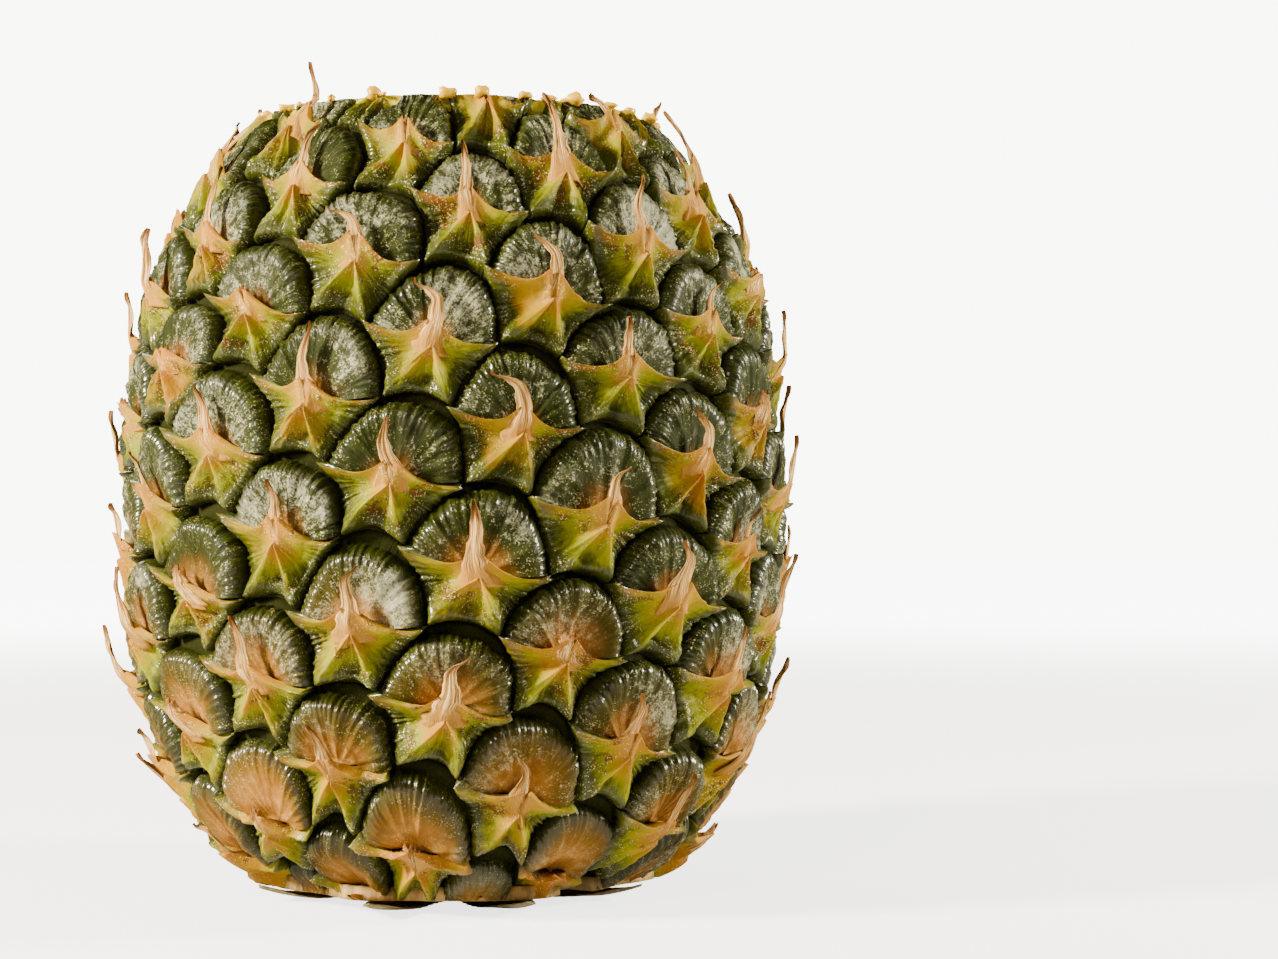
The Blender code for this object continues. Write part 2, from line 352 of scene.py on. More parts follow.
def corner_places(faces: Faces, front: int, flat: np.ndarray, back: np.ndarray) -> np.ndarray:
    """Bake map of a closed body, with the faces of its back in a patch of their own.

    Args:
        faces: the body's faces.
        front: how many of them come before the back's.
        flat: map place of every point for the front's faces.
        back: the same for the back's.
    Returns:
        The map place of every corner.
    """
    corners = [flat[v] for face in faces[:front] for v in face]
    return np.array(corners + [back[v] for face in faces[front:] for v in face])


def blade_sheet(front: np.ndarray, rear: np.ndarray, flat: np.ndarray,
                numbers: dict[str, np.ndarray], mirrored: bool = False) -> Sheet:
    """Closed thin blade from the grids of its two faces, joined round their edge.

    Args:
        front: points of the outer face, as rows, columns and three numbers.
        rear: the inner face's, in the same order.
        flat: map places of all points, the front's first.
        numbers: attributes of all points.
        mirrored: True where columns run the other way, so that every face is flipped.
    Returns:
        The blade, with each edge face a sliver beside its grid in the map.
    """
    rows, columns = front.shape[:2]
    behind = rows * columns
    points = np.concatenate([front.reshape(-1, 3), rear.reshape(-1, 3)])
    faces: Faces = []
    for i in range(rows - 1):
        for j in range(columns - 1):
            a, b = i * columns + j, (i + 1) * columns + j
            faces.append((a, a + 1, b + 1, b))
            faces.append((behind + b, behind + b + 1, behind + a + 1, behind + a))
    edge = list(range(columns)) + [i * columns + columns - 1 for i in range(1, rows)]
    edge += [(rows - 1) * columns + j for j in range(columns - 2, -1, -1)]
    edge += [i * columns for i in range(rows - 2, 0, -1)]
    corners = [flat[v] for face in faces for v in face]
    sliver = np.array([0.0, 0.004])
    for a, b in zip(edge, edge[1:] + edge[:1]):
        faces.append((behind + a, behind + b, b, a))
        corners += [flat[a] + sliver, flat[b] + sliver, flat[b], flat[a]]
    corner_map = np.array(corners)
    if mirrored:
        faces = [face[::-1] for face in faces]
        corner_map = corner_map.reshape(-1, 4, 2)[:, ::-1].reshape(-1, 2)
    return Sheet(points, faces, corner_map, numbers)


def smooth(low: float, high: float, x: np.ndarray) -> np.ndarray:
    """Smooth step from 0 at low to 1 at high."""
    t = np.clip((x - low) / (high - low), 0.0, 1.0)
    return t * t * (3.0 - 2.0 * t)


def hump(x: np.ndarray, centre: float, width: float) -> np.ndarray:
    """Bell curve that is 1 at its centre."""
    return np.exp(-((x - centre) / width) ** 2)


# --------------------------------------------------------------------- the fruit's rule
@dataclass(frozen=True)
class FruitRule:
    """Outline of the fruit and the spiral that its eyes grow along, as in the CAD model."""

    girth_radius: float = 67.5 * MM
    girth_height: float = 76.0 * MM
    cut_height: float = 156.0 * MM
    cut_radius: float = 38.5 * MM
    underside_height: float = 2.6 * MM
    underside_radius: float = 38.5 * MM
    upper_squareness: float = 2.7
    lower_squareness: float = 2.95
    side_roundness: float = 2.2
    eye_turn: float = math.radians(137.424)
    first_turn: float = math.radians(-117.3)
    first_height: float = 0.2 * MM
    rise_low: float = 1.342 * MM
    rise_fall: float = 0.00188 * MM
    flat_rise: float = 1.17 * MM
    groove_depth: float = 5.2 * MM

    LOWEST_EYE = -40

    def closing_reach(self, run: float, radius: float, squareness: float) -> float:
        """Distance from the girth to where the curve through this radius would close."""
        share = 1.0 - (radius / self.girth_radius) ** self.side_roundness
        return run / share ** (1.0 / squareness)

    @property
    def upper_reach(self) -> float:
        """From the girth to where the upper curve would close."""
        run = self.cut_height - self.girth_height
        return self.closing_reach(run, self.cut_radius, self.upper_squareness)

    @property
    def lower_reach(self) -> float:
        """From the girth to where the lower curve would close."""
        run = self.girth_height - self.underside_height
        return self.closing_reach(run, self.underside_radius, self.lower_squareness)

    def eye_height(self, number: float) -> float:
        """Height of an eye's spine root."""
        fall = 0.5 * self.rise_fall * number * max(number, 0.0)
        return self.first_height + self.rise_low * number - fall

    def flat_step(self, steps: int) -> np.ndarray:
        """Flat offset from an eye to the one so many steps on, the short way round."""
        turn = (steps * self.eye_turn + math.pi) % TAU - math.pi
        return np.array([turn * self.girth_radius, steps * self.flat_rise])

    def first_eye_above(self, height: float) -> int:
        """Find the first eye whose root is above a height.

        Args:
            height: the height.
        Returns:
            The eye's number.
        """
        number = self.LOWEST_EYE
        while self.eye_height(number) < height:
            number += 1
        return number


# --------------------------------------------------------------------- one fruitlet
class Cell:
    """Outline of a fruitlet in the flat pattern, round its spine root.

    The cell has six corners. Its upper edges are arches and its lower edges are the same
    arches, hollow, so that each cap fits the bracts above it.
    """

    ARCHES = (1.0 * MM, 1.5 * MM, 1.0 * MM)
    EDGE_STEPS = 16
    CENTRE_RISE = 2.4 * MM

    def __init__(self, rule: FruitRule) -> None:
        """Work out the outline, anticlockwise from the right wing tip.

        Args:
            rule: gives the steps from eye to eye.
        """
        a, b, c = rule.flat_step(8), rule.flat_step(13), rule.flat_step(21)
        near, far = (a + c) / 3.0, (b + c) / 3.0
        corners = [far - b, near, far, near - a, far - c, near - c]
        corners = [corner + np.array([0.0, self.CENTRE_RISE]) for corner in corners]
        upper = [self.arch(corners[i], corners[i + 1], rise)
                 for i, rise in enumerate(self.ARCHES)]
        shifts = [corners[i + 3] - corners[i + 1] for i in range(3)]
        lower = [edge[::-1] + shift for edge, shift in zip(upper, shifts)]
        outline = np.concatenate([edge[:-1] for edge in (*upper, *lower)])
        self.outline_bearings = np.arctan2(outline[:, 1], outline[:, 0])
        self.outline_reaches = np.hypot(outline[:, 0], outline[:, 1])
        bearings = [math.atan2(corner[1], corner[0]) for corner in corners]
        self.right, self.left = bearings[0], bearings[3]
        self.lower = [bearing % TAU for bearing in bearings[4:]]

    def arch(self, start: np.ndarray, end: np.ndarray, rise: float) -> np.ndarray:
        """Lay an edge that bulges outward at its middle.

        Args:
            start: corner where it starts.
            end: corner where it ends.
            rise: how far it bulges.
        Returns:
            The edge's points.
        """
        share = np.linspace(0.0, 1.0, self.EDGE_STEPS + 1)[:, None]
        run = end - start
        outward = np.array([run[1], -run[0]]) / np.hypot(*run)
        return start + share * run + outward * rise * 4.0 * share * (1.0 - share)

    def reach(self, bearing: np.ndarray) -> np.ndarray:
        """Distance from the root to the outline along each bearing."""
        return np.interp(bearing, self.outline_bearings, self.outline_reaches, period=TAU)


@dataclass
class Fruitlet:
    """Closed flat-laid body of one eye: domed cap above, winged bract below."""

    cell: Cell
    variant: int
    cap_steps: int = 132
    bract_steps: int = 136
    cap_radius: float = 13.3 * MM
    cap_rise: float = 1.7 * MM
    wing_stretch: float = 0.13
    cap_height: float = 4.7 * MM
    pit_height: float = 2.2 * MM
    pit_dip: float = 1.3 * MM
    root_height: float = 6.3 * MM
    wing_edge_height: float = 1.9 * MM
    corner_lift: float = 2.1 * MM
    sag: float = 1.35 * MM
    wrinkle_depth: float = 0.60 * MM
    wrinkle_pitch: float = math.radians(6.0)
    wing_wrinkle_depth: float = 0.66 * MM
    back_depth: float = 6.0 * MM
    floor_height: float = 0.9 * MM
    skirt_depth: float = 0.4 * MM
    tuck: float = math.radians(0.5)
    shoulder_lift: float = 4.6 * MM
    shoulder_run: float = 3.6 * MM
    tip_lift: float = 0.9 * MM
    tip_reach: float = 15.0 * MM
    tip_run: float = 3.0 * MM
    lift_out: float = 0.30
    edge_swell: float = 0.7 * MM
    tip_swell: float = 0.9 * MM
    wing_step: float = 0.8 * MM
    broad_depth: float = 0.55 * MM
    cap_unevenness: float = 0.2 * MM
    bract_unevenness: float = 0.25 * MM
    crease_depth: float = 0.42 * MM
    crease_count: int = 5
    map_reach: float = 19.0 * MM
    seed: int = 710

    MAP_CENTRE = (0.5, 0.585)
    CAP_SHOULDER = 0.77
    CAP_SHOULDER_RIM = 0.72
    BRACT_SHOULDER = 0.885
    CAP_INNER = (0.09, 0.18, 0.27, 0.36, 0.45, 0.54, 0.62, 0.68)
    CAP_ARC = (10.0, 22.0, 34.0, 46.0, 58.0, 70.0, 83.0)
    BRACT_INNER = (0.06, 0.12, 0.19, 0.27, 0.35, 0.44, 0.53, 0.62, 0.70, 0.77, 0.83, 0.88)
    BRACT_ARC = (30.0, 58.0, 83.0)

    def __post_init__(self) -> None:
        """Set up the fruitlet's own random draws and its bearings."""
        self.random = np.random.default_rng(self.seed + self.variant)
        edge = 2.5 * self.tuck
        cap = np.linspace(self.cell.right + edge, self.cell.left - edge, self.cap_steps)
        bract = np.linspace(self.cell.left, self.cell.right + TAU, self.bract_steps)
        low = [self.cell.right + self.tuck, self.cell.left - self.tuck]
        self.bearing = np.concatenate([[low[0]], cap, [low[1]], bract])
        self.is_cap = np.zeros(len(self.bearing), bool)
        self.is_cap[:self.cap_steps + 2] = True

    def ridges(self, low: float, high: float, pitch: float) -> np.ndarray:
        """Rounded ridges of uneven height and spacing along the bearings.

        Args:
            low: bearing of the first ridge.
            high: bearing before which the last one lies.
            pitch: mean spacing.
        Returns:
            Their height at each bearing, up to about 1.
        """
        total = np.zeros(len(self.bearing))
        place = low
        while place < high:
            width = pitch * self.random.uniform(0.20, 0.36)
            total += self.random.uniform(0.25, 1.0) * hump(self.bearing, place, width)
            place += pitch * self.random.uniform(0.6, 1.45)
        return total

    def lobes(self, size: float) -> np.ndarray:
        """Slow uneven change round the fruitlet.

        Args:
            size: how far the slowest wave goes either way.
        Returns:
            The change at each bearing.
        """
        total = np.zeros(len(self.bearing))
        for waves in (1, 2, 3, 5):
            phase = self.random.uniform(0.0, TAU)
            total += size / waves ** 0.5 * np.sin(waves * self.bearing + phase)
        return total

    def cap_profile(self) -> tuple[np.ndarray, np.ndarray, np.ndarray]:
        """Lay the rings over the cap.

        Returns:
            Reach, height and rim share of every ring at each bearing.
        """
        outline = self.cell.reach(self.bearing)
        across = self.cap_rise * np.cos(self.bearing)
        circle = self.cap_rise * np.sin(self.bearing)
        circle = circle + np.sqrt(self.cap_radius ** 2 - across ** 2)
        edge = np.minimum(circle * (1.0 + self.lobes(0.028)), 0.965 * outline)
        wrinkles = self.ridges(self.cell.right, self.cell.left, self.wrinkle_pitch)
        fine = self.ridges(self.cell.right, self.cell.left, 0.5 * self.wrinkle_pitch)
        broad = self.ridges(self.cell.right, self.cell.left, 3.4 * self.wrinkle_pitch)
        swell = self.cap_height * (1.0 + self.lobes(0.035))
        shoulder = self.CAP_SHOULDER + self.lobes(0.014)
        from_edge = np.minimum(self.bearing - self.cell.right, self.cell.left - self.bearing)
        dip = self.pit_dip * np.exp(-(from_edge / math.radians(16.0)) ** 2)
        reach, height, rim = [], [], []
        for share in self.CAP_INNER:
            fade = smooth(0.48, 0.76, share)
            reach.append(edge * share * shoulder / self.CAP_SHOULDER_RIM)
            bowl = 0.70 * smooth(0.02, 0.50, share) + 0.30 * smooth(0.38, 0.76, share)
            rise = self.pit_height + (swell - self.pit_height) * bowl
            rise = rise + (broad - 0.4) * self.broad_depth * smooth(0.1, 0.5, share)
            rise = rise - dip * (1.0 - share)
            height.append(rise + self.cap_unevenness * self.lobes(1.0) * share
                          + fade * 0.55 * self.wrinkle_depth * wrinkles)
            rim.append(np.full(len(edge), share))
        last = height[-1]
        for degrees in self.CAP_ARC:
            angle = math.radians(degrees)
            push = self.wrinkle_depth * (wrinkles + 0.4 * fine)
            push = push * (0.5 + 0.5 * math.sin(2.0 * angle))
            out = self.CAP_SHOULDER_RIM + (1.0 - self.CAP_SHOULDER_RIM) * math.sin(angle)
            reach.append(edge * (shoulder + (1.0 - shoulder) * math.sin(angle))
                         + push * math.sin(angle))
            height.append(last * math.cos(angle) ** 0.72 + 0.6 * push * math.cos(angle))
            rim.append(out)
        return self.finish_rings(reach, height, rim, outline)

    def bract_profile(self) -> tuple[np.ndarray, np.ndarray, np.ndarray]:
        """Lay the rings over the bract.

        Returns:
            Reach, height and rim share of every ring at each bearing.
        """
        outline = self.cell.reach(self.bearing)
        turned = self.bearing % TAU
        ridge = np.zeros(len(turned))
        for corner in (self.cell.left, *self.cell.lower, self.cell.right + TAU):
            off = math.radians(self.random.uniform(-3.0, 3.0))
            width = math.radians(self.random.uniform(12.0, 21.0))
            ridge = np.maximum(ridge, hump(turned, corner + off, width))
        folds = np.zeros(len(turned))
        for _ in range(self.crease_count):
            place = self.random.uniform(self.cell.left + 0.5, self.cell.right + TAU - 0.5)
            folds += self.random.uniform(0.3, 1.0) * hump(turned, place, math.radians(4.0))
        edge = outline * (0.985 - 0.045 * (1.0 - ridge) * (1.0 + self.lobes(0.40)))
        side = hump(turned, self.cell.left + 0.45, 0.42)
        side += hump(turned, self.cell.right + TAU - 0.45, 0.42) + 0.25
        wrinkles = self.ridges(self.cell.left, self.cell.right + TAU, self.wrinkle_pitch) * side
        edge_height = self.wing_edge_height + self.corner_lift * ridge
        reach, height, rim = [], [], []
        for share in self.BRACT_INNER:
            sag = self.sag * (1.0 - ridge) * math.sin(math.pi * share ** 0.85)
            fall = edge_height + (self.root_height - edge_height) * (1.0 - share) ** 1.35
            pleat = self.wing_wrinkle_depth * wrinkles * smooth(0.50, 0.82, share)
            crease = self.crease_depth * folds * math.sin(math.pi * min(share / 0.75, 1.0))
            reach.append(edge * share)
            height.append(fall - sag + pleat + crease
                          + self.bract_unevenness * self.lobes(1.0) * share)
            rim.append(np.full(len(edge), share))
        last = height[-1]
        for degrees in self.BRACT_ARC:
            angle = math.radians(degrees)
            out = self.BRACT_SHOULDER + (1.0 - self.BRACT_SHOULDER) * math.sin(angle)
            reach.append(edge * out + self.wing_wrinkle_depth * wrinkles * math.sin(angle))
            height.append(last * math.cos(angle) ** 0.62)
            rim.append(out)
        return self.finish_rings(reach, height, rim, outline)

    def finish_rings(self, reach: list[np.ndarray], height: list[np.ndarray],
                     rim: list[Any], outline: np.ndarray
                     ) -> tuple[np.ndarray, np.ndarray, np.ndarray]:
        """Add the floor of the furrow between the eyes and the sunken border that neighbours share.

        Args:
            reach: the rings' reaches so far.
            height: their heights.
            rim: their shares of the way out.
            outline: the cell's reach at each bearing.
        Returns:
            The three lists as arrays, each with two more rings.
        """
        reach += [np.minimum(0.985 * outline, np.maximum(reach[-1], 0.93 * outline)),
                  1.012 * outline]
        height += [np.full(len(outline), self.floor_height),
                   np.full(len(outline), self.floor_height - self.skirt_depth)]
        rim += [1.0, 1.0]
        rims = [np.broadcast_to(r, outline.shape) for r in rim]
        return np.array(reach), np.array(height), np.array(rims)

    def wing_shift(self, reach: np.ndarray) -> np.ndarray:
        """How far the bract's free upper edge stands up over the cap.

        Args:
            reach: distance out from the spine root.
        Returns:
            The lift, high beside the spine and a little at the wing's tip.
        """
        beside_spine = self.shoulder_lift * np.exp(-(reach / self.shoulder_run) ** 1.5)
        tip = self.tip_lift * hump(reach, self.tip_reach, self.tip_run)
        return beside_spine + tip

    def build(self) -> Sheet:
        """Make the fruitlet's closed surface, flat-laid round its root.

        Returns:
            The surface.
        """
        cap, bract = self.cap_profile(), self.bract_profile()
        reach, height, rim = (np.where(self.is_cap, c, b) for c, b in zip(cap, bract))
        for column, mate in ((0, -1), (self.cap_steps + 1, self.cap_steps + 2)):
            height[:-2, column] = np.minimum(0.8 * height[:-2, column],
                                             height[:-2, mate] - self.wing_step)
        x, y = reach * np.cos(self.bearing), reach * np.sin(self.bearing)
        to_edge = np.minimum(self.bearing - self.cell.left,
                             self.cell.right + TAU - self.bearing)
        on_edge = np.where(self.is_cap, 0.0, np.exp(-(to_edge / math.radians(14.0)) ** 2))
        flat_edge = on_edge * (1.0 - smooth(0.95, 1.0, rim))
        lift = self.wing_shift(reach) * flat_edge
        y = y + lift
        x = x * (1.0 + self.wing_stretch * flat_edge * smooth(0.55, 0.9, rim))
        height = height + self.lift_out * lift + self.edge_swell * flat_edge * smooth(0.1, 0.5, rim)
        height = height + self.tip_swell * flat_edge * smooth(0.7, 0.95, rim)
        return self.assemble(x, y, height, rim, on_edge)

    def assemble(self, x: np.ndarray, y: np.ndarray, height: np.ndarray, rim: np.ndarray,
                 on_edge: np.ndarray) -> Sheet:
        """Join the rings into a closed surface with its map and attributes.

        Args:
            x: places across the fruit, a row for each ring.
            y: places up it.
            height: places out from it.
            rim: share of the way out to the rim.
            on_edge: how near each bearing is to the bract's free edge.
        Returns:
            The closed surface.
        """
        rings, steps = x.shape
        poles = [[0.0, 0.5 * MM, 0.8 * self.root_height], [0.0, 0.0, -self.back_depth]]
        points = np.concatenate([np.stack([x, y, height], axis=-1).reshape(-1, 3), poles])
        faces, front = domed_faces(rings, steps)
        size, (u, v) = self.map_reach, self.MAP_CENTRE
        flat = np.stack([u + 0.49 * x / size, v + 0.37 * y / size], axis=-1)
        flat = np.concatenate([flat.reshape(-1, 2), [self.MAP_CENTRE] * 2])
        tiny = np.array([0.02, 0.23]) + 0.02 * (flat - 0.5)
        spot = np.stack([x / size, y / size, rim], axis=-1).reshape(-1, 3)
        zone = np.broadcast_to(np.stack([self.is_cap.astype(float), on_edge,
                                         np.zeros(steps)], axis=-1), (rings, steps, 3))
        ends = np.zeros((2, 3))
        numbers = {
            "spot": np.concatenate([spot, ends]),
            "zone": np.concatenate([zone.reshape(-1, 3), ends]),
            "rise": points[:, 2] / self.root_height,
        }
        return Sheet(points, faces, corner_places(faces, front, flat, tiny), numbers)


class SpineForm(Enum):
    """How a dry spine has weathered: sideways bend, stand-off, share left and twist."""

    STRAIGHT = (0.0, 0.9, 0.98, 0.1)
    LEANING = (-1.2, 1.25, 0.96, -0.5)
    HOOKED_LEFT = (-4.2, 0.95, 1.0, 0.7)
    HOOKED_RIGHT = (3.4, 1.1, 0.96, -0.8)
    TALL = (0.9, 1.5, 1.08, 0.3)
    PRESSED = (1.6, 0.35, 0.88, 0.9)
    BROKEN = (-0.4, 0.6, 0.46, 0.2)


@dataclass
class Spine:
    """Papery dry spine, from the middle of the bract up in front of the cap."""

    form: SpineForm
    variant: int
    stations: int = 22
    across: int = 11
    foot: float = -1.6 * MM
    length: float = 14.4 * MM
    root_half_width: float = 3.7 * MM
    blade_half_width: float = 1.4 * MM
    thickness: float = 0.45 * MM
    stand_off: float = 2.0 * MM
    foot_height: float = 4.4 * MM
    foot_rise: float = 1.8 * MM
    foot_fall: float = 1.5 * MM
    crease_depth: float = 0.17 * MM
    curl_depth: float = 0.45 * MM
    tear_depth: float = 0.5 * MM
    least_half_width: float = 0.06 * MM
    least_thickness: float = 0.03 * MM
    seed: int = 90

    def half_width(self, share: np.ndarray) -> np.ndarray:
        """Half the blade's width, flaring where it leaves the bract.

        Args:
            share: share of the way from foot to tip.
        Returns:
            The half width at each share.
        """
        flare = (self.root_half_width - self.blade_half_width) * np.exp(-(share / 0.26) ** 1.6)
        blade = self.blade_half_width * (1.0 - np.clip(share, 0.0, 1.0) ** 2.2) ** 0.9
        return flare + blade + self.least_half_width

    def build(self) -> Sheet:
        """Make the blade as a closed thin body with a raised middle and folded edges.

        Returns:
            The blade, flat-laid round its root.
        """
        random = np.random.default_rng(self.seed + self.variant)
        bend, stand, kept, twist = self.form.value
        share = np.linspace(0.0, min(kept, 1.0), self.stations)
        stretch = max(kept, 1.0)
        tip = smooth(0.50, 1.0, share)
        side = np.linspace(-1.0, 1.0, self.across)
        sway = random.uniform(0.25, 0.7) * MM
        middle_x = bend * MM * tip ** 1.7 + sway * np.sin(8.0 * share + 2.1 * self.variant)
        middle_y = self.foot + self.length * stretch * share - 0.6 * abs(bend) * MM * tip ** 2.2
        middle_z = self.foot_height + self.foot_rise * smooth(0.0, 0.32, share)
        middle_z = middle_z + stand * self.stand_off * smooth(0.25, 1.1, share)
        half = self.half_width(share)
        rough = random.standard_normal((self.stations, 2))
        rough = 0.5 * (rough + np.roll(rough, 1, axis=0))
        ragged = 1.0 + (0.28 if self.form is SpineForm.BROKEN else 0.20) * rough
        turn = twist * smooth(0.40, 1.0, share)
        creases = random.uniform(5.0, 9.0)
        front, rear = [], []
        for i in range(self.stations):
            reach = side * half[i] * np.where(side < 0, ragged[i, 0], ragged[i, 1])
            free = float(smooth(0.02, 0.45, share[i]))
            fold = (0.08 + 0.27 * free) * half[i] * (1.0 - np.abs(side) ** 1.4)
            fold = fold - self.foot_fall * (1.0 - free) * side ** 2
            crease = np.cos(creases * side + 2.4 * share[i] + self.variant)
            curl = np.abs(side) ** 5 * math.sin(11.0 * share[i] + self.variant)
            up = fold + self.crease_depth * crease + self.curl_depth * curl
            x = middle_x[i] + reach * math.cos(turn[i]) - up * math.sin(turn[i])
            z = middle_z[i] + reach * math.sin(turn[i]) + up * math.cos(turn[i])
            torn = self.tear_depth * np.sin(6.0 * side + self.variant)
            torn = torn * (i == self.stations - 1)
            y = np.full(self.across, middle_y[i]) + torn * (kept < 0.9)
            thin = self.thickness * (1.0 - 0.6 * np.abs(side)) * (1.0 - 0.55 * share[i])
            front.append(np.stack([x, y, z], axis=-1))
            rear.append(np.stack([x, y, z - thin - self.least_thickness], axis=-1))
        return self.assemble(np.array(front), np.array(rear))

    def assemble(self, front: np.ndarray, rear: np.ndarray) -> Sheet:
        """Join the two faces of the blade, with its map and attributes.

        Args:
            front: points of the outer face.
            rear: points of the inner one.
        Returns:
            The closed blade.
        """
        across = np.tile(np.linspace(0.0, 1.0, self.across), self.stations)
        along = np.repeat(np.linspace(0.0, 1.0, self.stations), self.across)
        low = np.stack([0.02 + 0.94 * along, 0.015 + 0.085 * across], axis=-1)
        flat = np.concatenate([low, low + np.array([0.0, 0.10])])
        numbers = {"spot": np.tile(np.stack([across - 0.5, along, along], axis=-1), (2, 1)),
                   "zone": np.tile([0.0, 0.0, 1.0], (len(flat), 1)),
                   "rise": np.ones(len(flat))}
        return blade_sheet(front, rear, flat, numbers)


# --------------------------------------------------------------------- the eyes round the fruit
@dataclass
class EyeLayout:
    """Geometry Nodes tree that repeats templates along the growth spiral and wraps them round."""

    rule: FruitRule
    row_step: int = 8
    tile_columns: int = 5
    tile_rows: int = 4
    wander: float = 3.0 * MM
    wander_scale: float = 34.0
    slope_step: float = 1.5 * MM
    seed: int = 11
    sockets: dict[str, str] = field(default_factory=dict)

    SIZES = ("girth_radius", "girth_height", "upper_reach", "lower_reach", "upper_squareness",
             "lower_squareness", "side_roundness", "eye_turn", "first_turn", "first_height",
             "rise_low", "rise_fall", "flat_rise", "groove_depth", "cut_height",
             "underside_height")

    def __post_init__(self) -> None:
        """Build the tree once."""
        self.tree = bpy.data.node_groups.new("eye_rows", "GeometryNodeTree")
        self.tree.interface.new_socket(name="Geometry", in_out="OUTPUT",
                                       socket_type="NodeSocketGeometry")
        kinds = {"templates": "Collection", "template_count": "Int", "first_eye": "Int",
                 "eye_count": "Int", "row_step": "Int", "wander": "Float", "seed": "Int",
                 "turn_spread": "Float", "size_spread": "Float", "material": "Material"}
        kinds.update({size: "Float" for size in self.SIZES})
        for name, kind in kinds.items():
            made = self.tree.interface.new_socket(name=name, in_out="INPUT",
                                                  socket_type=f"NodeSocket{kind}")
            self.sockets[name] = made.identifier
        self.build_tree()

    def build_tree(self) -> None:
        """Add the nodes: points, picked templates, the wrap, the bake map and the material."""
        graph = Graph(self.tree)
        given = graph.add("NodeGroupInput").outputs
        index = Value(graph, graph.add("GeometryNodeInputIndex").outputs[0])
        eye = index * Value(graph, given["row_step"]) + Value(graph, given["first_eye"])
        turn = graph.math("FLOORED_MODULO", eye * Value(graph, given["eye_turn"]), TAU)
        place = graph.vector(turn * Value(graph, given["girth_radius"]),
                             eye * Value(graph, given["flat_rise"]), 0.0)
        points = graph.add("GeometryNodePoints", None, {"Count": given["eye_count"],
                                                        "Position": place})
        numbered = self.store(graph, points.outputs[0], "eye", eye, "FLOAT", "POINT")
        numbered = self.store(graph, numbered, "tile", index, "FLOAT", "POINT")
        shapes = graph.add("GeometryNodeCollectionInfo", None,
                           {"Collection": given["templates"], "Separate Children": True,
                            "Reset Children": True})
        pick = graph.add("FunctionNodeRandomValue", {"data_type": "INT"},
                         {4: 0, 5: Value(graph, given["template_count"]) - 1, 7: eye,
                          8: given["seed"]})
        lean = self.draw(graph, given["turn_spread"], eye, 3)
        grown = self.draw(graph, given["size_spread"], eye, 8) + 1.0
        placed = graph.add("GeometryNodeInstanceOnPoints", None,
                           {"Points": numbered, "Instance": shapes.outputs[0],
                            "Pick Instance": True, "Instance Index": pick.outputs[2],
                            "Rotation": graph.vector(0.0, 0.0, lean),
                            "Scale": graph.vector(grown, grown, grown)})
        real = graph.add("GeometryNodeRealizeInstances", None, {0: placed.outputs[0]})
        wrapped = graph.add("GeometryNodeSetPosition", None,
                            {"Geometry": real.outputs[0], "Position": self.wrap(graph, given)})
        mapped = self.store(graph, wrapped.outputs[0], BAKE_MAP, self.tile_map(graph),
                            "FLOAT2", "CORNER")
        dressed = graph.add("GeometryNodeSetMaterial", None,
                            {"Geometry": mapped, "Material": given["material"]})
        graph.add("NodeGroupOutput", None, {0: dressed.outputs[0]})

    def draw(self, graph: Graph, spread: Any, eye: Value, seed: int) -> Value:
        """Draw a number for each eye.

        Args:
            graph: the tree.
            spread: how far the number goes either way.
            eye: the eye's number.
            seed: tells this draw from others.
        Returns:
            The number.
        """
        node = graph.add("FunctionNodeRandomValue", {"data_type": "FLOAT"},
                         {2: -1.0, 3: 1.0, 7: eye, 8: self.seed + seed})
        return Value(graph, node.outputs[1]) * Value(graph, spread)

    def store(self, graph: Graph, geometry: Any, name: str, value: Any, kind: str,
              domain: str) -> bpy.types.NodeSocket:
        """Store a named attribute.

        Args:
            graph: the tree.
            geometry: what gets the attribute.
            name: its name.
            value: its value.
            kind: its data type.
            domain: what it belongs to, such as POINT.
        Returns:
            The geometry that has it.
        """
        node = graph.add("GeometryNodeStoreNamedAttribute",
                         {"data_type": kind, "domain": domain},
                         {"Geometry": geometry, "Name": name, "Value": value})
        return node.outputs[0]

    def read(self, graph: Graph, name: str, kind: str) -> bpy.types.NodeSocket:
        """Read a named attribute."""
        node = graph.add("GeometryNodeInputNamedAttribute", {"data_type": kind}, {"Name": name})
        return node.outputs[0]

    def tile_map(self, graph: Graph) -> bpy.types.NodeSocket:
        """Move each eye's own map into its tile of the piece's map.

        Args:
            graph: the tree.
        Returns:
            The map's new value.
        """
        tile = Value(graph, self.read(graph, "tile", "FLOAT"))
        u, v, _ = graph.parts(self.read(graph, BAKE_MAP, "FLOAT_VECTOR"))
        row = graph.math("FLOOR", (tile + 0.5) / self.tile_columns)
        column = tile - row * self.tile_columns
        return graph.vector((u + column) / self.tile_columns, (v + row) / self.tile_rows, 0.0)

